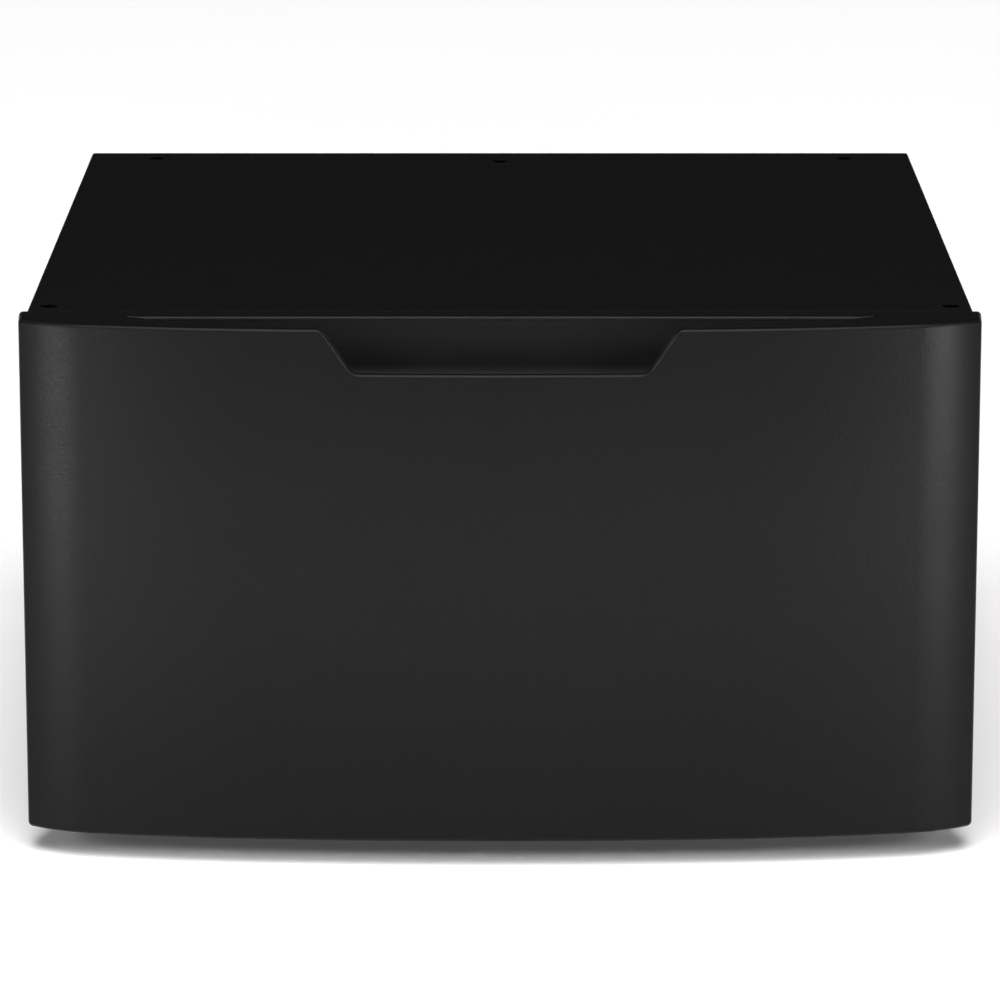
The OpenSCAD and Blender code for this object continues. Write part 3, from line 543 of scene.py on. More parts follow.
def join_rows(bm, rows, closed=False):
    """Strips of faces from each row of vertices to the next. Closed rows go all the way round."""
    for first, second in zip(rows, rows[1:]):
        if closed:
            first, second = first + first[:1], second + second[:1]
        join_strip(bm, first, second)


def quarter(steps, radius):
    """Pairs of what a quarter round still lacks along, and how far it has gone in."""
    for k in range(steps + 1):
        turn = math.pi / 2 * k / steps
        yield radius * (1 - math.sin(turn)), radius * (1 - math.cos(turn))


def rounded_rectangle(low, high, radius, inset=0.0, steps=ROUND_STEPS):
    """Points round a rectangle with round corners, moved inwards by inset."""
    points = []
    bend = radius - inset
    corners = ((high[0], high[1], 0), (low[0], high[1], 1), (low[0], low[1], 2), (high[0], low[1], 3))
    for x, y, turn in corners:
        cx = x - math.copysign(radius, x - low[0] - 1e-9)
        cy = y - math.copysign(radius, y - low[1] - 1e-9)
        for k in range(steps + 1):
            angle = math.pi / 2 * (turn + k / steps)
            points.append((cx + bend * math.cos(angle), cy + bend * math.sin(angle)))
    return points


def pan_surface(place, low, high, depth, fold):
    """A shallow pan's outside, whose edges fold back by depth. place turns (u, v, back) to a point."""
    bm = bmesh.new()
    corner = fold * 1.2
    rows = [rounded_rectangle(low, high, corner) for _ in range(2)]
    backs = [depth, fold]
    for along, inwards in list(quarter(ROUND_STEPS, fold))[1:]:
        rows.append(rounded_rectangle(low, high, corner, inwards))
        backs.append(along)
    loops = [[bm.verts.new(place(u, v, back)) for u, v in row] for row, back in zip(rows, backs)]
    join_rows(bm, loops, closed=True)
    bm.faces.new(loops[-1])
    return bm


def bend_path(points, radius, steps=TIGHT_STEPS + 1):
    """Rounds a path's corners, and gives each point with the direction on the path's left."""
    path = [Vector(p) for p in points]
    bent = []
    for i, point in enumerate(path):
        if i in (0, len(path) - 1):
            along = (path[1] - path[0] if i == 0 else path[-1] - path[-2]).normalized()
            bent.append((point, Vector((-along.y, along.x))))
            continue
        before = (point - path[i - 1]).normalized()
        after = (path[i + 1] - point).normalized()
        turn = math.atan2(before.x * after.y - before.y * after.x, before.dot(after))
        left = Vector((-before.y, before.x))
        start = point - before * radius * math.tan(abs(turn) / 2)
        centre = start + left * math.copysign(radius, turn)
        for k in range(steps + 1):
            swing = Matrix.Rotation(turn * k / steps, 2)
            bent.append((centre + swing @ (start - centre), swing @ left))
    return bent


def axis_point(axis, u, v, along):
    """A point whose place along an axis is given last; u and v are the other two, in order."""
    return {"x": (along, u, v), "y": (u, along, v), "z": (u, v, along)}[axis]


def add_bent_sheet(bm, points, thickness, fold, axis, start, stop):
    """A sheet that follows a path of its middle line, bent at each corner, and runs along an axis."""
    path = bend_path(points, max(fold - thickness / 2, thickness * 0.55))
    sides = []
    for along in (start, stop):
        row = []
        for point, left in path:
            outer, inner = point + left * thickness / 2, point - left * thickness / 2
            row.append([bm.verts.new(axis_point(axis, p.x, p.y, along)) for p in (outer, inner)])
        sides.append(row)
    near, far = sides
    for i in range(len(path) - 1):
        bm.faces.new((near[i][0], near[i + 1][0], near[i + 1][1], near[i][1]))
        bm.faces.new((far[i][0], far[i][1], far[i + 1][1], far[i + 1][0]))
        bm.faces.new((near[i][0], far[i][0], far[i + 1][0], near[i + 1][0]))
        bm.faces.new((near[i][1], near[i + 1][1], far[i + 1][1], far[i][1]))
    for i in (0, -1):
        bm.faces.new((near[i][0], near[i][1], far[i][1], far[i][0]))


def finish_sheet(name, node, bm, flip=False):
    """A node's stand-in: folded sheets drawn as closed strips, with their cut edges softened."""
    if flip:
        bmesh.ops.transform(bm, matrix=Matrix.Scale(-1, 4, (1, 0, 0)), verts=bm.verts)
    bmesh.ops.recalc_face_normals(bm, faces=bm.faces)
    piece = as_object(name, bm)
    soften(piece, sheet_sizes().cut_edge)
    dress(piece, node)


def right_box(node):
    """A node's box as it would stand on the right, so that one drawing serves both sides."""
    low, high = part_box(node)
    near, far = sorted((abs(low.x), abs(high.x)))
    return Vector((near, low.y, low.z)), Vector((far, high.y, high.z))


def bent_piece(name, node, points, thickness, fold, axis, flip=False):
    """A node's stand-in: one bent sheet as long as the node along an axis."""
    low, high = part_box(node)
    k = "xyz".index(axis)
    bm = bmesh.new()
    add_bent_sheet(bm, points, thickness, fold, axis, low[k], high[k])
    finish_sheet(name, node, bm, flip)


def lathe(bm, profile, origin, axis="z", steps=LATHE_STEPS):
    """Turns a profile of (radius, height) pairs about an axis through a point. Nought radii close it."""
    rings = []
    for radius, height in profile:
        turns = 1 if radius == 0 else steps
        ring = []
        for k in range(turns):
            angle = 2 * math.pi * k / steps
            u, v = radius * math.cos(angle), radius * math.sin(angle)
            offset = Vector(axis_point(axis, u, v, height))
            ring.append(bm.verts.new(Vector(origin) + offset))
        rings.append(ring)
    for first, second in zip(rings, rings[1:]):
        for k in range(steps):
            after = (k + 1) % steps
            corners = [first[k % len(first)], first[after % len(first)], second[after % len(second)],
                       second[k % len(second)]]
            bm.faces.new(list(dict.fromkeys(corners)))
    return rings


# The bowed front

class Bow:
    """The front's outline seen from above: arcs that grow tighter from the middle to the flanks."""

    def __init__(self):
        sizes = front_sizes()
        low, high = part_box("front_skin")
        self.half, self.front, self.back = high.x, low.y, high.y
        self.corner_half = self.half - sizes.flare
        radii = (sizes.bow_radius, sizes.cheek_radius, sizes.shoulder_radius, sizes.corner_radius)
        ends = (self.half - sizes.shoulder_width - sizes.cheek_width, self.half - sizes.shoulder_width)
        cx, cy, turn = 0.0, self.front + radii[0], 0.0
        self.arcs = []
        for k, radius in enumerate(radii):
            if k:
                tighter = radii[k - 1] - radius
                cx += tighter * math.sin(turn)
                cy -= tighter * math.cos(turn)
            if k < 2:
                turn = math.asin((ends[k] - cx) / radius)
            elif k == 2:
                turn = math.asin((self.corner_half - radii[3] - cx) / (radius - radii[3]))
            else:
                turn = math.pi / 2
            self.arcs.append((turn, cx, cy, radius))
        self.flank_start = self.arcs[-1][2]

    def flank_x(self, y):
        """How far out the flank is at y: it widens a little towards the back."""
        part = (y - self.flank_start) / (self.back - self.flank_start)
        return self.corner_half + (self.half - self.corner_half) * part

    def spot(self, turn, inset):
        """The point where the outline faces a turn to the side, moved inwards."""
        _, cx, cy, radius = next(arc for arc in self.arcs if abs(turn) <= arc[0] + 1e-9)
        reach = radius - inset
        side = -1 if turn < 0 else 1
        return side * (cx + reach * math.sin(abs(turn))), cy - reach * math.cos(turn)

    def turn_at(self, x, inset=0.0):
        """Which way the outline, moved inwards, faces at x."""
        for end, cx, _, radius in self.arcs:
            reach = radius - inset
            if abs(x) <= cx + reach * math.sin(end) + 1e-9:
                return math.copysign(math.asin(min(1.0, (abs(x) - cx) / reach)), x)
        raise ValueError("The front is not as wide as x")

    def across(self, x, inset):
        """The point of the outline that lies ahead of x, moved inwards."""
        return self.spot(self.turn_at(x), inset)

    def depth_y(self, x, inset):
        """How far forward the outline, moved inwards, is at x."""
        return self.spot(self.turn_at(x, inset), inset)[1]


class Column:
    """One upright line of the front: a place on the outline, and its top edge's height and facing."""

    def __init__(self, bow, x=None, turn=None, flank=None, drop=0.0, face=(0.0, 1.0)):
        self.bow, self.x, self.turn, self.flank, self.face = bow, x, turn, flank, face
        self.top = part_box("front_skin")[1].z - drop

    def at(self, lack, depth, z=None):
        """A point that lacks some height under the top edge and lies at a depth behind the skin."""
        height = self.top - self.face[1] * lack if z is None else z
        if self.flank is not None:
            side, y = self.flank
            return Vector((side * (self.bow.flank_x(y) - depth), y, height))
        if self.turn is not None:
            return Vector((*self.bow.spot(self.turn, depth), height))
        return Vector((*self.bow.across(self.x - self.face[0] * lack, depth), height))

    def mirrored(self):
        """The same column on the other side of the front."""
        twin = Column(self.bow, face=(-self.face[0], self.face[1]))
        twin.top = self.top
        twin.x = None if self.x is None else -self.x
        twin.turn = None if self.turn is None else -self.turn
        twin.flank = None if self.flank is None else (-self.flank[0], self.flank[1])
        return twin


def steps_between(start, stop, count, first=False):
    """Even steps from start, which is itself given only if first is set, to stop."""
    return [start + (stop - start) * k / count for k in range(0 if first else 1, count + 1)]


def notch_columns(bow):
    """Columns from the middle to the end of the notch's upper corner."""
    sizes = handle_sizes()
    top_half, bottom_half = sizes.notch_top / 2, sizes.notch_bottom / 2
    deep, low_r, high_r = sizes.notch_deep, sizes.notch_bottom_radius, sizes.notch_top_radius
    lean = math.atan2(deep, top_half - bottom_half)
    bend = math.tan(lean / 2)
    low_x, high_x = bottom_half - low_r * bend, top_half + high_r * bend
    columns = [Column(bow, x=x, drop=deep) for x in steps_between(0.0, low_x, 9, first=True)[:-1]]
    for angle in steps_between(-math.pi / 2, lean - math.pi / 2, NOTCH_STEPS, first=True):
        c, s = math.cos(angle), math.sin(angle)
        columns.append(Column(bow, x=low_x + low_r * c, drop=deep - low_r * (1 + s), face=(-c, -s)))
    start, facing = columns[-1], columns[-1].face
    for angle in steps_between(math.pi / 2 + lean, math.pi / 2, NOTCH_STEPS, first=True):
        c, s = math.cos(angle), math.sin(angle)
        columns.append(Column(bow, x=high_x + high_r * c, drop=high_r * (1 - s), face=(c, s)))
    upper = -NOTCH_STEPS - 1
    finish = columns[upper]
    middle = Column(bow, x=(start.x + finish.x) / 2, face=facing)
    middle.top = (start.top + finish.top) / 2
    columns.insert(upper, middle)
    return columns


class Opening:
    """The deck's opening over the pocket: a straight rear edge and two slanted ends."""

    def __init__(self, bow):
        sizes = handle_sizes()
        self.bow = bow
        face_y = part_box("top_panel")[0].y
        self.rear = face_y - sizes.setback
        self.rear_half = sizes.rear_width / 2
        self.slope = (sizes.rear_width - sizes.front_width) / 2 / (sizes.reach - sizes.setback)
        self.stretch = math.hypot(1.0, self.slope)

    def end_x(self, y, out):
        """Where the right slanted end is at y, moved outwards."""
        return self.rear_half + (y - self.rear) * self.slope + out * self.stretch

    def rear_corner(self, out):
        """Where the slanted end meets the rear edge, both moved outwards."""
        return self.end_x(self.rear + out, out), self.rear + out

    def front_corner(self, out, inset):
        """Where the slanted end, moved outwards, meets the bow moved inwards by inset."""
        x = self.rear_half
        for _ in range(40):
            x = self.end_x(self.bow.depth_y(x, inset), out)
        return x, self.bow.depth_y(x, inset)


def front_columns(bow, corner_x):
    """The columns from the left flank's back to the right one's, and which are the pocket's corners."""
    half = notch_columns(bow)
    edge = half[-1].x
    half += [Column(bow, x=x) for x in steps_between(edge, corner_x, 10)]
    corner = len(half) - 1
    turns = [bow.turn_at(corner_x)] + [arc[0] for arc in bow.arcs[1:]]
    for start, stop, count in zip(turns, turns[1:], (10, 16, 10)):
        half += [Column(bow, turn=turn) for turn in steps_between(start, stop, count)]
    half += [Column(bow, flank=(1, y)) for y in steps_between(bow.flank_start, bow.back, 5)]
    columns = [c.mirrored() for c in reversed(half[1:])] + half
    middle = len(half) - 1
    return columns, middle - corner, middle + corner


def build_front_skin():
    """The bowed front with its rolled lip, notch and deck, as one folded sheet."""
    sizes, handle = front_sizes(), handle_sizes()
    bow = Bow()
    opening = Opening(bow)
    low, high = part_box("front_skin")
    end_round = handle.end_round
    corner_x = opening.front_corner(end_round, sizes.lip - end_round)[0]
    columns, left, right = front_columns(bow, corner_x)
    bm = bmesh.new()
    face_zs = steps_between(low.z + sizes.bottom_round, high.z - BROW_BAND, 8)
    lines = []
    for column in columns:
        line = [column.at(sizes.top_round, inwards, low.z + lack)
                for lack, inwards in reversed(list(quarter(ROUND_STEPS, sizes.bottom_round)))]
        line += [column.at(sizes.top_round, 0.0, z) for z in face_zs]
        brow = column.at(sizes.top_round, 0.0)
        line += [column.at(sizes.top_round, 0.0, z) for z in steps_between(face_zs[-1], brow.z, 3)]
        top_bend = list(quarter(ROUND_STEPS, sizes.top_round))[1:]
        line += [column.at(lack, inwards) for lack, inwards in top_bend]
        lines.append([bm.verts.new(point) for point in line])
    join_rows(bm, lines)
    bm.faces.new([line[0] for line in lines])
    brows = [line[-1] for line in lines[left:right + 1]]
    lip_lines = build_lip(bm, columns[left:right + 1], brows, opening)
    rim = build_rim(bm, opening, lip_lines[0], lip_lines[-1])
    build_deck(bm, lines, left, right, [sample[0] for sample in rim])
    face_outwards(bm, (0.0, low.y, low.z + 0.15), (0.0, -1.0, 0.0))
    surface_piece("front_skin_sheet", "front_skin", bm, sizes.skin, sheet_sizes().cut_edge, 50.0)


def build_deck(bm, lines, left, right, edge):
    """The flat deck: a wing at each end of the pocket's upper edge, and a band behind it."""
    rear = max(range(len(edge)), key=lambda i: (round(edge[i].co.y, 5), -edge[i].co.x))
    rear_end = max(range(len(edge)), key=lambda i: (round(edge[i].co.y, 5), edge[i].co.x))
    back = lines[0][-1].co.y
    back_left = bm.verts.new((edge[rear].co.x, back, edge[rear].co.z))
    back_right = bm.verts.new((edge[rear_end].co.x, back, edge[rear_end].co.z))
    bm.faces.new([line[-1] for line in lines[:left + 1]] + edge[:rear + 1] + [back_left])
    bm.faces.new([back_right] + edge[rear_end:] + [line[-1] for line in lines[right:]])
    bm.faces.new([back_left] + edge[rear:rear_end + 1] + [back_right])


def build_lip(bm, columns, brows, opening):
    """The lip's flat top, its inner edge and the hem behind it. Gives the hem's lines of vertices."""
    sizes, edge = front_sizes(), handle_sizes().end_round
    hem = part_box("front_skin")[1].z - sizes.lip_height
    turned = (handle_sizes().rolled - edge) / (sizes.lip_height - edge)
    lines = []
    for i, column in enumerate(columns):
        side = {0: -1, len(columns) - 1: 1}.get(i)
        line = []
        for rest, drop in quarter(TIGHT_STEPS, edge):
            if side:
                x, y = opening.front_corner(rest, sizes.lip - rest)
                line.append(Vector((side * x, y, column.top - drop)))
            else:
                line.append(column.at(drop, sizes.lip - rest))
        start = line[-1]
        for part in (turned, 0.55, 1.0):
            line.append(Vector((start.x, start.y, start.z + (hem - start.z) * part)))
        lines.append([bm.verts.new(point) for point in line])
    for i in range(len(columns) - 1):
        bm.faces.new((brows[i], brows[i + 1], lines[i + 1][0], lines[i][0]))
        join_strip(bm, lines[i], lines[i + 1])
    return lines


def build_rim(bm, opening, left_line, right_line):
    """The deck's edges that turn down into the pocket. Gives each sample's vertices."""
    sizes = handle_sizes()
    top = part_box("front_skin")[1].z
    rows = TIGHT_STEPS + 2
    fade, end_fade = 0.016, 0.2

    def radius_at(inside):
        """The rounding grows from the corners, where inside is 0, to its full size."""
        inside = min(1.0, inside)
        return sizes.end_round + (sizes.rear_round - sizes.end_round) * inside * inside * (3 - 2 * inside)

    def rear_sample(part):
        x = opening.rear_half * (2 * part - 1)
        radius = radius_at((opening.rear_half - abs(x)) / fade)
        sample = []
        for rest, drop in quarter(TIGHT_STEPS, radius):
            corner = opening.rear_corner(rest)[0]
            sample.append(Vector((x / opening.rear_half * corner, opening.rear + rest, top - drop)))
        return sample + [Vector((x, opening.rear, top - sizes.rolled))]

    def end_sample(side, part):
        sample = []
        for rest, drop in quarter(TIGHT_STEPS, radius_at(min(part, 1 - part) / end_fade)):
            near = Vector(opening.front_corner(rest, front_sizes().lip - rest))
            far = Vector(opening.rear_corner(rest))
            spot = near.lerp(far, part)
            sample.append(Vector((side * spot.x, spot.y, top - drop)))
        return sample + [Vector((sample[-1].x, sample[-1].y, top - sizes.rolled))]

    ends = [0.05, 0.1, 0.15, 0.2, 0.4, 0.6, 0.8, 0.85, 0.9, 0.95]
    near_corner = [fade * k / 5 / (2 * opening.rear_half) for k in range(6)]
    rear = near_corner + steps_between(near_corner[-1], 1 - near_corner[-1], 12)[:-1]
    rear += [1 - part for part in reversed(near_corner)]
    samples = [end_sample(-1, part) for part in ends]
    samples += [rear_sample(part) for part in rear]
    samples += [end_sample(1, part) for part in reversed(ends)]
    rim = [left_line[:rows]] + [[bm.verts.new(point) for point in sample] for sample in samples]
    rim.append(right_line[:rows])
    join_rows(bm, rim)
    return rim


def build_pocket():
    """The finger pocket: a moulded tray behind the lip, with a rounded floor and a notched front wall."""
    sizes, handle = front_sizes(), handle_sizes()
    bow = Bow()
    opening = Opening(bow)
    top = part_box("front_skin")[1].z
    wall_depth = sizes.lip + FIT + handle.wall
    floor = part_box("handle_pocket")[0].z + handle.wall
    columns = notch_columns(bow)
    columns = [c.mirrored() for c in reversed(columns[1:])] + columns
    edge = columns[-1].x

    def loop(inset):
        """The pocket's inside seen from above, moved inwards: front wall, right end, rear, left end."""
        corner = Vector(opening.front_corner(-inset, wall_depth + inset))
        rear = Vector(opening.rear_corner(-inset))
        xs = [-corner.x + (corner.x - edge) * k / 5 for k in range(5)] + [c.x for c in columns]
        xs += [edge + (corner.x - edge) * k / 5 for k in range(1, 6)]
        points = [Vector((x, bow.depth_y(x, wall_depth + inset))) for x in xs]
        points += [corner.lerp(rear, k / 4) for k in range(1, 5)]
        points += [rear.lerp(Vector((-rear.x, rear.y)), k / 12) for k in range(1, 13)]
        left, back = Vector((-corner.x, corner.y)), Vector((-rear.x, rear.y))
        points += [back.lerp(left, k / 4) for k in range(1, 4)]
        return points

    outline = loop(0.0)
    front_count = len(columns) + 10
    under_deck = top - sizes.skin - FIT
    notched = [min(c.top - POCKET_STEP, under_deck) for c in columns]
    tops = [under_deck] * 5 + notched + [under_deck] * 5
    tops += [top - handle.rolled - FIT / 2] * (len(outline) - front_count)
    bm = bmesh.new()
    rows = []
    fillet = handle.fillet
    for part in (0.0, 0.3, 0.65):
        heights = [z + (floor + fillet - z) * part for z in tops]
        rows.append([bm.verts.new((p.x, p.y, z)) for p, z in zip(outline, heights)])
    for rest, inwards in quarter(ROUND_STEPS, fillet):
        rows.append([bm.verts.new((p.x, p.y, floor + rest)) for p in loop(inwards)])
    join_rows(bm, rows, closed=True)
    bm.faces.new(rows[-1])
    face_outwards(bm, (0.0, opening.rear, floor + 0.03), (0.0, -1.0, 0.0))
    surface_piece("pocket_moulding", "handle_pocket", bm, handle.wall, BROAD_EDGE, 50.0)


# The cabinet

def cut_holes(piece, spots, radius, depth):
    """Drills round holes along Z through a piece."""
    bm = bmesh.new()
    for spot in spots:
        lathe(bm, [(0, -depth), (radius, -depth), (radius, depth), (0, depth)], spot)
    bmesh.ops.recalc_face_normals(bm, faces=bm.faces)
    drill = as_object("drill", bm)
    add_modifier(piece, "BOOLEAN", operation="DIFFERENCE", object=drill, solver="EXACT")
    settle(piece)
    bpy.data.objects.remove(drill)


def build_top_panel():
    """The flat top: a shallow pan with round folds and five holes for a machine's fixings."""
    low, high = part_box("top_panel")
    bm = pan_surface(lambda u, v, back: (u, v, high.z - back), low.xy, high.xy, high.z - low.z,
                     sheet_sizes().fold)
    face_outwards(bm, (0.0, 0.0, high.z), (0.0, 0.0, 1.0))
    piece = as_object("top_panel_sheet", bm)
    thicken(piece, SHEET)
    spots = []
    for mount in frame["record"]["mounts"]:
        if mount["kind"] == "bolt_pattern":
            half = mount["dims"]["spacing_x_mm"] / 2000
            spots += [(side * half, mount["pos_m"][1], high.z) for _, side in SIDES]
            radius = mount["dims"]["hole_r_mm"] / 1000
    spots.append((0.0, high.y - FIFTH_HOLE_SETBACK, high.z))
    cut_holes(piece, spots, radius, DRILL_DEPTH)
    soften(piece, BROAD_EDGE)
    dress(piece, "top_panel")


def build_side_panel(side, sign):
    """A side panel with its folds, and the tab that stands behind the top panel's fold."""
    node = "side_panel_" + side
    low, high = right_box(node)
    outer, face, rear, bottom = high.x, low.y, high.y, low.z
    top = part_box("top_panel")[0].z - TOP_SEAM
    fold = sheet_sizes().fold
    side_x = outer - SHEET
    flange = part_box("back_panel")[1].y - 2 * SHEET
    front_end = outer - FACE_FOLD
    profile = [(front_end, face), (outer - fold * 2, face)]
    profile += [(outer - lack, face + inwards) for lack, inwards in quarter(ROUND_STEPS, fold)]
    first_flat = len(profile)
    plain = steps_between(face + FLAT_MARGIN, flange - FLAT_MARGIN, 6, first=True)
    profile += [(outer, y) for y in plain]
    flat = range(first_flat, len(profile))
    profile.append((outer, rear))
    bm = bmesh.new()
    zs = [bottom, bottom + fold, *(bottom + line for line in SIDE_LINES), top]
    grid = [[bm.verts.new((x, y, z)) for z in zs] for x, y in profile]
    for i, (first, second) in enumerate(zip(grid, grid[1:])):
        skip = 1 if i in flat and i + 1 in flat else 0
        join_strip(bm, first[skip:], second[skip:])
    tail = []
    for i in flat:
        line = [grid[i][1]]
        y = profile[i][1]
        for rest, inwards in list(quarter(ROUND_STEPS, fold))[1:]:
            line.append(bm.verts.new((outer - inwards, y, bottom + rest)))
        line.append(bm.verts.new((side_x - BOTTOM_FOLD, y, bottom)))
        tail.append(line)
    join_rows(bm, tail)
    bmesh.ops.delete(bm, geom=[v for v in bm.verts if not v.link_faces], context="VERTS")
    face_outwards(bm, (outer, 0.0, 0.2), (1.0, 0.0, 0.0))
    panel = as_object("side_shell", bm)
    thicken(panel, SHEET)
    settle(panel)
    bm = bmesh.new()
    bm.from_mesh(panel.data)
    bpy.data.objects.remove(panel)
    half = SHEET / 2
    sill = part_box("front_sill")[1].z
    add_bent_sheet(bm, [(front_end + half, face + SHEET + FIT), (front_end + half, face + FACE_RETURN)],
                   SHEET, fold, "z", sill, top)
    add_bent_sheet(bm, [(side_x - FACE_FOLD, flange + half), (side_x - FIT, flange + half)],
                   SHEET, fold, "z", bottom, top)
    tab = side_x - half - FIT
    add_bent_sheet(bm, [(tab, top - TAB_DROP), (tab, high.z)], SHEET, fold, "y", face + TAB_START, flange)
    finish_sheet(node + "_sheet", node, bm, flip=sign < 0)


def pressed_grid(us, vs, height):
    """A grid of (u, v, height) points as rows."""
    return [[(u, v, height(u, v)) for v in vs] for u in us]


def lines_near(start, stop, edges, width, coarse):
    """Grid lines from start to stop, closer together around each edge."""
    lines = {start, stop}
    count = max(2, round((stop - start) / coarse))
    lines.update(steps_between(start, stop, count, first=True))
    for edge in edges:
        lines = {v for v in lines if abs(v - edge) > width * 0.7 or v in (start, stop)}
    for edge in edges:
        lines.update(edge + width * k / 4 for k in (-2, -1.2, -0.5, 0, 0.5, 1.2, 2))
    return sorted(v for v in lines if start <= v <= stop)


def smooth_step(value, width):
    """Rises from 0 to 1 while value goes from -width/2 to width/2."""
    t = min(1.0, max(0.0, value / width + 0.5))
    return t * t * (3 - 2 * t)


def inside_slot(u, v, box, radius, width):
    """How far a point is inside a rounded slot, as a smooth 0 to 1 across the slot's edge."""
    (u0, v0), (u1, v1) = box
    du = abs(u - (u0 + u1) / 2) - (u1 - u0) / 2 + radius
    dv = abs(v - (v0 + v1) / 2) - (v1 - v0) / 2 + radius
    distance = math.hypot(max(du, 0.0), max(dv, 0.0)) + min(max(du, dv), 0.0) - radius
    return smooth_step(-distance, width)


def pressed_sheet(name, node, us, vs, height, place, thickness, facing):
    """A sheet with stamped shapes, from a height over its grid."""
    bm = bmesh.new()
    rows = [[bm.verts.new(place(*point)) for point in row] for row in pressed_grid(us, vs, height)]
    join_rows(bm, rows)
    middle = rows[len(rows) // 2][len(vs) // 2].co
    face_outwards(bm, middle, facing)
    surface_piece(name, node, bm, thickness, sheet_sizes().cut_edge, 60.0)


def build_back_panel():
    """The recessed back with three long ribs pressed inwards."""
    low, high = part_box("back_panel")
    middle = (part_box("side_panel_left")[0].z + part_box("top_panel")[1].z) / 2
    radius = BACK_RIB_HEIGHT / 2 - FIT
    slots = []
    for k in (-1, 0, 1):
        z = middle + k * BACK_RIB_PITCH
        slots.append(((low.x + BACK_RIB_MARGIN, z - BACK_RIB_HEIGHT / 2),
                      (high.x - BACK_RIB_MARGIN, z + BACK_RIB_HEIGHT / 2)))
    ends = [slots[0][0][0] + 0.004, slots[0][1][0] - 0.004]
    us = lines_near(low.x, high.x, ends, 0.02, 0.03)
    vs = lines_near(low.z, high.z, [s[k][1] for s in slots for k in (0, 1)], BACK_RIB_SLOPE, 0.02)

    def height(u, v):
        return BACK_RIB_DEPTH * max(inside_slot(u, v, slot, radius, BACK_RIB_SLOPE) for slot in slots)

    pressed_sheet("back_panel_sheet", "back_panel", us, vs, height,
                  lambda u, v, h: (u, high.y - h, v), SHEET, (0.0, 1.0, 0.0))


def build_cross_rails():
    """The rails, braces and mounts of the cabinet, each one bent sheet."""
    fold = sheet_sizes().fold
    half = SHEET / 2
    low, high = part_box("front_top_rail")
    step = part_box("top_panel")[0].z - TOP_SEAM
    bent_piece("front_top_rail_sheet", "front_top_rail",
               [(high.y - half, low.z + RAIL_RETURN), (high.y - half, low.z + half),
                (low.y + half, low.z + half), (low.y + half, step - JOGGLE[0]),
                (low.y + half + SHEET, step - JOGGLE[1]), (low.y + half + SHEET, high.z)],
               SHEET, fold, "x")
    low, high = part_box("front_sill")
    bent_piece("front_sill_sheet", "front_sill",
               [(high.y, high.z - half), (low.y + half, high.z - half), (low.y + half, low.z + half),
                (high.y, low.z + half)], SHEET, fold, "x")
    low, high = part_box("rear_bottom_rail")
    bent_piece("rear_bottom_rail_sheet", "rear_bottom_rail",
               [(low.y, low.z + half), (high.y - half, low.z + half), (high.y - half, high.z - half),
                (low.y, high.z - half)], SHEET, fold, "x")
    for end in ENDS:
        node = "top_brace_" + end
        low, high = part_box(node)
        near, far = low.y + BRACE_FLANGE + half, high.y - BRACE_FLANGE - half
        bent_piece(node + "_sheet", node,
                   [(low.y, high.z - half), (near, high.z - half), (near, low.z + half),
                    (far, low.z + half), (far, high.z - half), (high.y, high.z - half)],
                   SHEET, fold, "x")
    for side, sign in SIDES:
        node = "slide_mount_" + side
        low, high = right_box(node)
        near, far = low.x, high.x
        down, up = low.z + MOUNT_FLANGE + half, high.z - MOUNT_FLANGE - half
        bent_piece(node + "_sheet", node,
                   [(far - half, low.z), (far - half, down), (near + half, down), (near + half, up),
                    (far - half, up), (far - half, high.z)], SHEET, fold, "y", flip=sign < 0)
        node = "base_rail_" + side
        low, high = right_box(node)
        near, far = low.x, high.x
        half_rail = RAIL_SHEET / 2
        bent_piece(node + "_sheet", node,
                   [(near + half_rail, (low.z + high.z) / 2), (near + half_rail, low.z + half_rail),
                    (far - half_rail, low.z + half_rail), (far - half_rail, high.z)],
                   RAIL_SHEET, fold, "y", flip=sign < 0)


# The drawer

def build_drawer_box():
    """The drawer's sides, ends, beaded floor and the pan behind the front."""
    fold, sheet = sheet_sizes().drawer_fold, DRAWER_SHEET
    half = sheet / 2
    for side, sign in SIDES:
        node = "drawer_side_" + side
        low, high = right_box(node)
        outer, inner = high.x, high.x - sheet
        bent_piece(node + "_sheet", node,
                   [(inner - LEDGE_WIDTH, low.z + half), (outer - half, low.z + half),
                    (outer - half, high.z - half), (inner - HEM_WIDTH + half, high.z - half),
                    (inner - HEM_WIDTH + half, high.z - HEM_DROP)],
                   sheet, fold, "y", flip=sign < 0)
    for node, wall, end in (("drawer_box_front", 0, 1), ("drawer_back", 1, 0)):
        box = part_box(node)
        x = box[1].x - half
        y = box[wall].y + (half if wall == 0 else -half)
        path = [(-x, box[end].y), (-x, y), (x, y), (x, box[end].y)]
        bent_piece(node + "_sheet", node, path, sheet, fold, "z")
    build_drawer_floor()
    low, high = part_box("front_back_pan")
    bm = pan_surface(lambda u, v, back: (u, high.y - back, v), (low.x, low.z), (high.x, high.z),
                     high.y - low.y, fold)
    face_outwards(bm, (0.0, high.y, 0.2), (0.0, 1.0, 0.0))
    surface_piece("front_back_pan_sheet", "front_back_pan", bm, sheet, sheet_sizes().cut_edge)


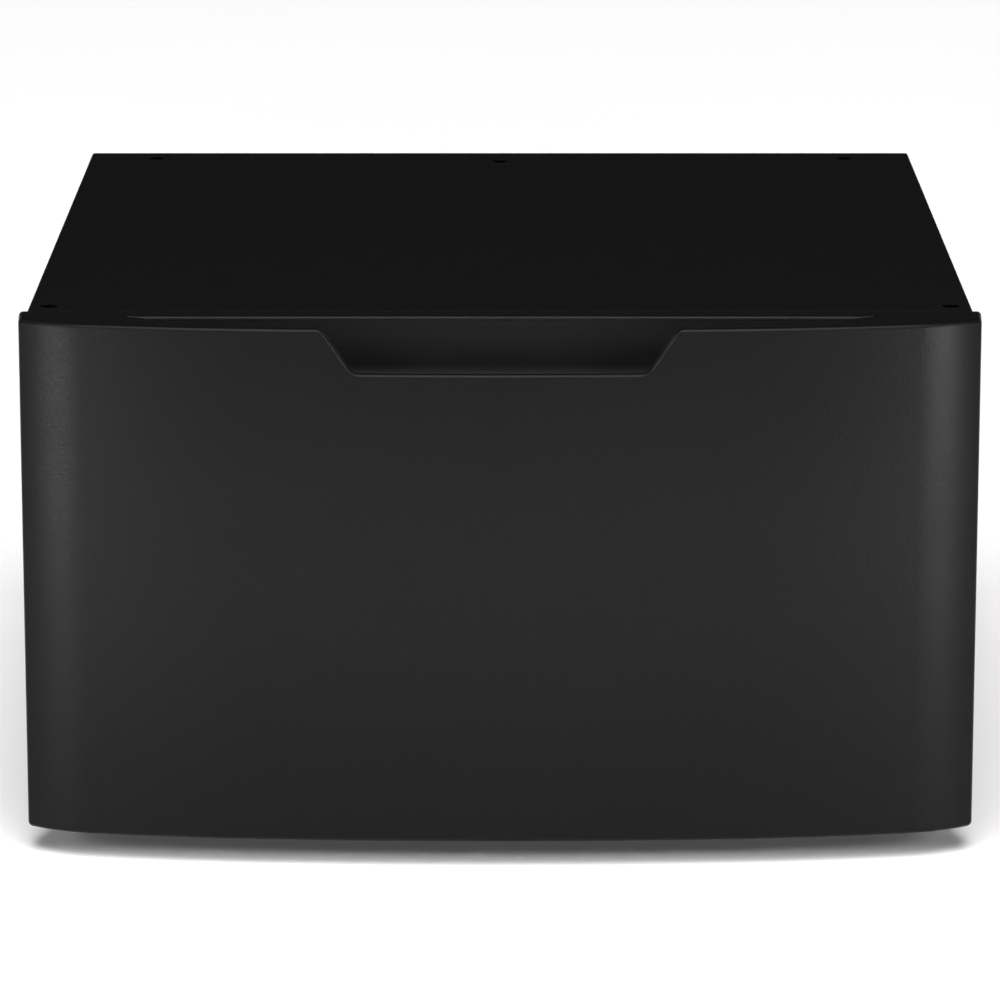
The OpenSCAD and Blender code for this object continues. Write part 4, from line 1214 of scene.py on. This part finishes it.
def build_drawer_floor():
    """The drawer's floor, with long beads that stiffen it."""
    low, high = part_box("drawer_floor")
    rise = high.z - low.z - DRAWER_SHEET
    start = low.y - 2 * FIT + BEAD_MARGIN - DRAWER_SHEET
    stop = high.y + 2 * FIT - BEAD_MARGIN + DRAWER_SHEET
    slots = []
    for k in range(BEADS):
        x = (k - (BEADS - 1) / 2) * BEAD_PITCH
        slots.append(((x - BEAD_WIDTH / 2, start), (x + BEAD_WIDTH / 2, stop)))
    us = lines_near(low.x, high.x, [s[k][0] for s in slots for k in (0, 1)], BEAD_SLOPE, 0.03)
    vs = lines_near(low.y, high.y, [start + 0.002, stop - 0.002], 0.008, 0.05)
    radius = BEAD_WIDTH / 2 - FIT

    def height(u, v):
        return rise * max(inside_slot(u, v, slot, radius, BEAD_SLOPE) for slot in slots)

    pressed_sheet("drawer_floor_sheet", "drawer_floor", us, vs, height,
                  lambda u, v, h: (u, v, low.z + DRAWER_SHEET + h), DRAWER_SHEET, (0.0, 0.0, 1.0))


def build_slides():
    """The three members of each slide, rolled from strip, and the pins of their release levers."""
    half = SHEET / 2
    for side, sign in SIDES:
        for member in ("outer", "middle", "inner"):
            node = "slide_" + member + "_" + side
            low, high = right_box(node)
            near, far = low.x, high.x
            bm = bmesh.new()
            if member == "inner":
                path = [(far, high.z - half), (near + half, high.z - half), (near + half, low.z + half),
                        (far, low.z + half)]
                pin = Vector((near + SHEET, low.y + LEVER_PIVOT, (low.z + high.z) / 2))
                lathe(bm, [(0, 0), (0.0025, 0), (0.0025, 0.0036), (0.0035, 0.0036), (0.0035, 0.0042),
                           (0.0031, 0.0046), (0, 0.0046)], pin, "x")
            else:
                path = [(near + half, high.z - half - SLIDE_LIP), (near + half, high.z - half),
                        (far - half, high.z - half), (far - half, low.z + half),
                        (near + half, low.z + half), (near + half, low.z + half + SLIDE_LIP)]
            add_bent_sheet(bm, path, SHEET, SLIDE_FOLD, "y", low.y, high.y)
            finish_sheet(node + "_strip", node, bm, flip=sign < 0)


def build_bumpers():
    """Soft rubber bumpers with a domed face on the back of the front."""
    for side, _ in SIDES:
        node = "bumper_" + side
        low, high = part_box(node)
        radius = (high.x - low.x) / 2
        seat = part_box("front_back_pan")[1].y
        reach = high.y - seat
        bm = bmesh.new()
        for z in (low.z + radius, high.z - radius):
            lathe(bm, [(0, low.y - seat), (0.002, low.y - seat), (0.002, 0), (radius, 0),
                       (radius, reach * 0.45), (radius * 0.93, reach * 0.8), (radius * 0.78, reach),
                       (0, reach)],
                  ((low.x + high.x) / 2, seat, z), "y")
        bmesh.ops.recalc_face_normals(bm, faces=bm.faces)
        piece = as_object(node + "_rubber", bm)
        soften(piece, FINE_EDGE)
        dress(piece, node)


# Feet

def add_thread(bm, centre, start, stop, radius, pitch):
    """A screw thread: a ridge that winds up a rod, closed at both ends."""
    per_turn = 24
    root = radius - pitch * 0.6
    count = int((stop - start - pitch) / pitch * per_turn)
    profile = ((root, 0.0), (radius, 0.38), (radius, 0.56), (root, 0.94))
    rows = []
    for i in range(count + 1):
        angle = 2 * math.pi * i / per_turn
        spin = Vector((math.cos(angle), math.sin(angle), 0.0))
        base = start + pitch * i / per_turn
        rows.append([bm.verts.new(Vector(centre) + spin * r + Vector((0, 0, base + pitch * up)))
                     for r, up in profile])
    join_rows(bm, rows)
    for i in range(count - per_turn):
        bm.faces.new((rows[i][3], rows[i + 1][3], rows[i + 1 + per_turn][0], rows[i + per_turn][0]))
    low = bm.verts.new(Vector(centre) + Vector((0, 0, start)))
    high = bm.verts.new(Vector(centre) + Vector((0, 0, stop)))
    for i in range(per_turn):
        bm.faces.new((low, rows[i + 1][0], rows[i][0]))
        j = count - per_turn + i
        bm.faces.new((high, rows[j][3], rows[j + 1][3]))
    bm.faces.new((low, *rows[0], rows[per_turn][0]))
    bm.faces.new((high, *reversed(rows[count]), rows[count - per_turn][3]))


def hex_loop(across_flats, z, inset=0.0):
    """Points round a hexagon, each corner as three points that can be cut back."""
    corner = across_flats / math.sqrt(3) - inset
    points = []
    for k in range(6):
        for turn in (-HEX_CUT, 0.0, HEX_CUT):
            angle = math.pi / 3 * k + turn
            flat = across_flats / 2 / math.cos(abs(turn) - math.pi / 6)
            reach = min(corner, flat) if turn else corner
            points.append((reach * math.cos(angle), reach * math.sin(angle), z))
    return points


def add_hex(bm, centre, across_flats, start, stop, chamfer=0.0007):
    """A hexagon with its corners cut back at both ends, as nuts have."""
    rise = chamfer * 0.6
    levels = ((start, chamfer), (start + rise, 0.0), (stop - rise, 0.0), (stop, chamfer))
    loops = [[bm.verts.new(Vector(centre) + Vector(p)) for p in hex_loop(across_flats, z, inset)]
             for z, inset in levels]
    join_rows(bm, loops, closed=True)
    bm.faces.new(loops[0])
    bm.faces.new(loops[-1])


def build_feet():
    """The rubber pads and the threaded studs that stand in them."""
    for foot in FEET:
        low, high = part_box("foot_pad_" + foot)
        centre = Vector(((low.x + high.x) / 2, (low.y + high.y) / 2, 0.0))
        outer = (high.x - low.x) / 2
        bm = bmesh.new()
        lathe(bm, [(0, 0.0012), (outer * 0.8, 0.0012), (outer * 0.83, 0), (outer - 0.0008, 0),
                   (outer, 0.0008), (outer, 0.0044), (outer - 0.0012, 0.0058), (0.0128, 0.0064),
                   (0.012, 0.0072), (0.012, 0.0102), (0.0112, 0.011), (0.0054, 0.011),
                   (0.0053, 0.0083), (0, 0.0083)], centre)
        bmesh.ops.recalc_face_normals(bm, faces=bm.faces)
        pad = as_object("foot_pad_" + foot + "_rubber", bm)
        soften(pad, FINE_EDGE, angle=60.0)
        dress(pad, "foot_pad_" + foot)
        low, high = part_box("foot_stud_" + foot)
        bm = bmesh.new()
        collar = COLLAR_HEIGHT
        lathe(bm, [(0, low.z), (0.0076, low.z), (0.008, low.z + 0.0004), (0.008, low.z + 0.004),
                   (STUD_RADIUS, low.z + 0.004), (STUD_RADIUS, collar + 0.0005), (0, collar + 0.0005)],
              centre)
        add_hex(bm, centre, HEX_FLATS, collar, collar + 0.005)
        add_thread(bm, centre, collar + 0.0046, high.z, STUD_RADIUS, THREAD_PITCH)
        bmesh.ops.recalc_face_normals(bm, faces=bm.faces)
        stud = as_object("foot_stud_" + foot + "_thread", bm)
        add_modifier(stud, "WEIGHTED_NORMAL", keep_sharp=True)
        stud.data.set_sharp_from_angle(angle=math.radians(35))
        dress(stud, "foot_stud_" + foot)


# Fasteners

def build_screws():
    """Hexagon screws with washer heads, and the slides' rivets."""
    for node in ("cabinet_screws", "drawer_screws", "slide_rivets"):
        bm = bmesh.new()
        for low, high in fastener_boxes(NODES[node].data):
            if high.y - low.y > 2 * RIVET_HEAD_RADIUS + FIT:
                add_screw(bm, low, high)
            else:
                add_rivet(bm, low, high, headed_inside=node == "drawer_screws")
        bmesh.ops.recalc_face_normals(bm, faces=bm.faces)
        piece = as_object(node + "_heads", bm)
        soften(piece, HEAD_EDGE)
        dress(piece, node)


def fastener_boxes(mesh):
    """The two corners of the box round each fastener in a node's mesh."""
    bm = bmesh.new()
    bm.from_mesh(mesh)
    bmesh.ops.remove_doubles(bm, verts=bm.verts, dist=1e-6)
    seen, boxes = set(), []
    for vert in bm.verts:
        if vert in seen:
            continue
        island, queue = [], [vert]
        seen.add(vert)
        while queue:
            v = queue.pop()
            island.append(v.co.copy())
            for edge in v.link_edges:
                other = edge.other_vert(v)
                if other not in seen:
                    seen.add(other)
                    queue.append(other)
        boxes.append([Vector([pick(p[k] for p in island) for k in range(3)]) for pick in (min, max)])
    bm.free()
    return boxes


def add_screw(bm, low, high):
    """A screw that points to -Y: a dished washer, a hexagon and a plain shank."""
    seat = high.y - SCREW_HEAD_HEIGHT
    tip = low.y - seat
    centre = Vector(((low.x + high.x) / 2, seat, (low.z + high.z) / 2))
    lathe(bm, [(0, 0), (0.0055, 0), (0.0055, 0.0004), (0.0052, 0.0008), (0.0044, 0.00095),
               (0, 0.00095)], centre, "y")
    lathe(bm, [(0, tip), (0.0012, tip), (0.002, tip + 0.003), (0.002, 0.0002), (0, 0.0002)], centre, "y",
          SMALL_LATHE_STEPS)
    loops = []
    for rise, inset in ((0.0007, 0.0), (0.0030, 0.0), (SCREW_HEAD_HEIGHT, 0.0004)):
        corners = hex_loop(SCREW_FLATS, 0.0, inset)
        loops.append([bm.verts.new(centre + Vector((p[0], rise, p[1]))) for p in corners])
    join_rows(bm, loops, closed=True)
    bm.faces.new(loops[0])
    rim = loops[-1]
    offsets = [v.co - centre for v in rim]
    dish = [bm.verts.new(centre + Vector((p.x * 0.72, SCREW_HEAD_HEIGHT, p.z * 0.72))) for p in offsets]
    well = [bm.verts.new(centre + Vector((p.x * 0.6, 0.0029, p.z * 0.6))) for p in offsets]
    join_rows(bm, [rim, dish, well], closed=True)
    bm.faces.new(well)


def add_rivet(bm, low, high, headed_inside):
    """A rivet with a domed head: on the inside of a drawer side, or behind a slide mount."""
    middle = (low + high) / 2
    at_right = middle.x > 0
    head_x, tail_x = (low.x, high.x) if at_right == headed_inside else (high.x, low.x)
    outwards = math.copysign(1.0, head_x - tail_x)
    seat = head_x - outwards * RIVET_HEAD_HEIGHT
    origin = (seat, middle.y, middle.z)
    dome = [(0, 0), (RIVET_HEAD_RADIUS, 0), (RIVET_HEAD_RADIUS, 0.0006), (0.0041, 0.0012),
            (0.0032, 0.0017), (0.0018, 0.00195), (0, RIVET_HEAD_HEIGHT)]
    shank = [(0, tail_x - seat), (0.0024, tail_x - seat), (0.0024, outwards * 0.0002),
             (0, outwards * 0.0002)]
    lathe(bm, [(radius, outwards * rise) for radius, rise in dome], origin, "x", SMALL_LATHE_STEPS)
    lathe(bm, shank, origin, "x", SMALL_LATHE_STEPS)


PAIRED = ("outer_cage_", "inner_cage_", "release_lever_", "outer_balls_", "inner_balls_")
KEPT = [name + foot for name in ("foot_bracket_", "lock_nut_") for foot in FEET]
KEPT += [name + side for name in PAIRED for side, _ in SIDES]


def finish_kept_nodes():
    """Gives the solids that stay as they are their finishes, and softens their edges."""
    for node in KEPT:
        solid = NODES[node]
        solid.data.materials.clear()
        solid.data.materials.append(material_of(SLOT_OF[node]))
        add_modifier(solid, "WELD", merge_threshold=1e-6)
        if "balls" in node:
            continue
        soften(solid, FINE_EDGE if "cage" in node else sheet_sizes().solid_edge)


# The stage

def add_lamp(name, power, size, location, target, spread_angle=180.0):
    """A soft rectangular lamp that the camera does not see."""
    lamp = bpy.data.lights.new(name, "AREA")
    lamp.shape = "RECTANGLE"
    lamp.size, lamp.size_y = size
    lamp.energy = power
    lamp.spread = math.radians(spread_angle)
    lamp_object = bpy.data.objects.new(name, lamp)
    bpy.context.scene.collection.objects.link(lamp_object)
    lamp_object.location = location
    lamp_object.rotation_euler = (Vector(target) - Vector(location)).to_track_quat("-Z", "Y").to_euler()
    lamp_object.visible_camera = False


def mirror(place, sign):
    """A place on the right, or its twin on the left."""
    return sign * place[0], place[1], place[2]


def build_studio_floor(floor_colour):
    """A wide pale floor."""
    bm = bmesh.new()
    lathe(bm, [(0, 0), (1.5, 0), (6.0, 0), (30.0, 0)], (0.0, 0.0, 0.0), steps=96)
    face_outwards(bm, (0.0, 0.0, 0.0), (0.0, 0.0, 1.0))
    floor = as_object("studio_floor", bm)
    material, shader = plain_finish("studio_floor", floor_colour, 0.9, specular=0.1)
    tree = material.node_tree
    tree.links.new(tint(tree, noise(tree, 2.0, 4.0), floor_colour, 0.995, 1.005),
                   shader.inputs["Base Color"])
    floor.data.materials.append(material)


def build_camera():
    """A long lens in front of the drawer, a little above it, as in the photograph."""
    face_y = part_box("top_panel")[0].y
    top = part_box("top_panel")[1].z
    camera = bpy.data.cameras.new("camera")
    camera.sensor_width = 36.0
    camera.lens = CAMERA_LENS
    camera.clip_end = 100.0
    camera_object = bpy.data.objects.new("camera", camera)
    bpy.context.scene.collection.objects.link(camera_object)
    camera_object.location = (0.0, face_y - CAMERA_BACK, top + CAMERA_UP)
    camera_object.rotation_euler = (math.radians(90 - CAMERA_PITCH), 0.0, 0.0)
    bpy.context.scene.camera = camera_object


def build_lights(settings):
    """Plain soft studio light from above, lamps in front, beside and behind, and a white horizon."""
    sun = bpy.data.lights.new("overhead_light", "SUN")
    sun.energy = settings.overhead
    sun.angle = math.radians(OVERHEAD_ANGLE)
    sun_object = bpy.data.objects.new("overhead_light", sun)
    sun_object.rotation_euler = (math.radians(OVERHEAD_TILT), 0.0, 0.0)
    bpy.context.scene.collection.objects.link(sun_object)
    add_lamp("front_lamp", settings.front, *FRONT_LAMP, BODY_AIM)
    for k, turn in enumerate(STRIP_TURNS):
        along, back = STRIP_DISTANCE * math.sin(turn), STRIP_DISTANCE * math.cos(turn)
        place = (along, STRIP_AIM[1] - back, STRIP_HEIGHT)
        add_lamp("strip_lamp_" + str(k), settings.strip, STRIP_SIZE, place, STRIP_AIM, STRIP_SPREAD)
    for side, sign in SIDES:
        size, place, aim = LOW_LAMP
        add_lamp("low_lamp_" + side, settings.low, size, mirror(place, sign), mirror(aim, sign))
        size, place = REAR_LAMP
        add_lamp("rear_lamp_" + side, settings.rear, size, mirror(place, sign), BODY_AIM)
        size, place, aim = EDGE_LAMP
        add_lamp("edge_lamp_" + side, settings.edge, size, mirror(place, sign), mirror(aim, sign),
                 EDGE_SPREAD)
    world = bpy.data.worlds.new("studio")
    world.use_nodes = True
    tree = world.node_tree
    background = tree.nodes["Background"]
    background.inputs["Color"].default_value = (1.0, 1.0, 1.0, 1.0)
    path = tree.nodes.new("ShaderNodeLightPath")
    direction = tree.nodes.new("ShaderNodeTexCoord")
    height = tree.nodes.new("ShaderNodeSeparateXYZ")
    tree.links.new(direction.outputs["Generated"], height.inputs["Vector"])
    horizon = spread(tree, height.outputs["Z"], 1.0, 0.0, HORIZON_GLOW[0], HORIZON_GLOW[1])
    shiny = join_numbers(tree, "MAXIMUM", path.outputs["Is Glossy Ray"],
                         path.outputs["Is Transmission Ray"])
    mirrored = join_numbers(tree, "MULTIPLY", shiny, horizon)
    seen = join_numbers(tree, "MAXIMUM", path.outputs["Is Camera Ray"], mirrored)
    tree.links.new(spread(tree, seen, settings.world, 1.0, 0.0, 1.0), background.inputs["Strength"])
    bpy.context.scene.world = world


# Operators

class PEDESTAL_OT_stage(bpy.types.Operator):
    """Build the pale floor, the soft lamps and the camera"""

    bl_idname = "pedestal.stage"
    bl_label = "Stage"
    bl_options = {"REGISTER", "UNDO"}

    def execute(self, context):
        settings = context.scene.pedestal_stage
        context.scene.view_settings.view_transform = "Standard"
        build_studio_floor(settings.floor)
        build_camera()
        build_lights(settings)
        return {"FINISHED"}


class PEDESTAL_OT_front(bpy.types.Operator):
    """Build the bowed front with its lip, hand notch and deck"""

    bl_idname = "pedestal.front"
    bl_label = "Bowed Front"
    bl_options = {"REGISTER", "UNDO"}

    def execute(self, context):
        build_front_skin()
        return {"FINISHED"}


class PEDESTAL_OT_pocket(bpy.types.Operator):
    """Build the moulded finger pocket behind the lip"""

    bl_idname = "pedestal.pocket"
    bl_label = "Finger Pocket"
    bl_options = {"REGISTER", "UNDO"}

    def execute(self, context):
        build_pocket()
        return {"FINISHED"}


class PEDESTAL_OT_cabinet(bpy.types.Operator):
    """Build the cabinet's top, side and back panels"""

    bl_idname = "pedestal.cabinet"
    bl_label = "Cabinet Panels"
    bl_options = {"REGISTER", "UNDO"}

    def execute(self, context):
        build_top_panel()
        for side, sign in SIDES:
            build_side_panel(side, sign)
        build_back_panel()
        return {"FINISHED"}


class PEDESTAL_OT_rails(bpy.types.Operator):
    """Build the cabinet's rails, braces and slide mounts"""

    bl_idname = "pedestal.rails"
    bl_label = "Rails and Braces"
    bl_options = {"REGISTER", "UNDO"}

    def execute(self, context):
        build_cross_rails()
        return {"FINISHED"}


class PEDESTAL_OT_drawer(bpy.types.Operator):
    """Build the drawer's box, its beaded floor and the pan behind the front"""

    bl_idname = "pedestal.drawer"
    bl_label = "Drawer Box"
    bl_options = {"REGISTER", "UNDO"}

    def execute(self, context):
        build_drawer_box()
        return {"FINISHED"}


class PEDESTAL_OT_slides(bpy.types.Operator):
    """Build the rolled members of the two slides"""

    bl_idname = "pedestal.slides"
    bl_label = "Slides"
    bl_options = {"REGISTER", "UNDO"}

    def execute(self, context):
        build_slides()
        return {"FINISHED"}


class PEDESTAL_OT_feet(bpy.types.Operator):
    """Build the foot pads, threaded studs and bumpers"""

    bl_idname = "pedestal.feet"
    bl_label = "Feet and Bumpers"
    bl_options = {"REGISTER", "UNDO"}

    def execute(self, context):
        build_feet()
        build_bumpers()
        return {"FINISHED"}


class PEDESTAL_OT_fasteners(bpy.types.Operator):
    """Build the screws and rivets"""

    bl_idname = "pedestal.fasteners"
    bl_label = "Screws and Rivets"
    bl_options = {"REGISTER", "UNDO"}

    def execute(self, context):
        build_screws()
        return {"FINISHED"}


class PEDESTAL_OT_kept(bpy.types.Operator):
    """Finish the brackets, nuts, ball cages, balls and levers, which keep their own shapes"""

    bl_idname = "pedestal.kept"
    bl_label = "Brackets, Nuts and Cages"
    bl_options = {"REGISTER", "UNDO"}

    def execute(self, context):
        finish_kept_nodes()
        return {"FINISHED"}


OPERATORS = (
    PEDESTAL_OT_stage, PEDESTAL_OT_front, PEDESTAL_OT_pocket, PEDESTAL_OT_cabinet, PEDESTAL_OT_rails,
    PEDESTAL_OT_drawer, PEDESTAL_OT_slides, PEDESTAL_OT_feet, PEDESTAL_OT_fasteners, PEDESTAL_OT_kept,
)
GROUPS = {
    "pedestal_front": FrontSizes,
    "pedestal_handle": HandleSizes,
    "pedestal_sheet": SheetSizes,
    "pedestal_finishes": Finishes,
    "pedestal_stage": StageSettings,
}


class PEDESTAL_PT_panel(bpy.types.Panel):
    """Lists the pedestal's pieces and their settings"""

    bl_idname = "PEDESTAL_PT_panel"
    bl_label = "Laundry Pedestal"
    bl_space_type = "VIEW_3D"
    bl_region_type = "UI"
    bl_category = "Pedestal"

    def draw(self, context):
        for operator in OPERATORS:
            self.layout.operator(operator.bl_idname)
        for name in GROUPS:
            group = getattr(context.scene, name)
            column = self.layout.column(align=True)
            for key in group.__annotations__:
                column.prop(group, key)


def register():
    for cls in (*GROUPS.values(), *OPERATORS, PEDESTAL_PT_panel):
        bpy.utils.register_class(cls)
    for name, group in GROUPS.items():
        setattr(bpy.types.Scene, name, PointerProperty(type=group))


def unregister():
    for name in GROUPS:
        delattr(bpy.types.Scene, name)
    for cls in reversed((*GROUPS.values(), *OPERATORS, PEDESTAL_PT_panel)):
        bpy.utils.unregister_class(cls)


def main():
    register()
    bpy.ops.pedestal.stage()
    bpy.ops.pedestal.front()
    bpy.ops.pedestal.pocket()
    bpy.ops.pedestal.cabinet()
    bpy.ops.pedestal.rails()
    bpy.ops.pedestal.drawer()
    bpy.ops.pedestal.slides()
    bpy.ops.pedestal.feet()
    bpy.ops.pedestal.fasteners()
    bpy.ops.pedestal.kept()


if __name__ == "__main__":
    main()
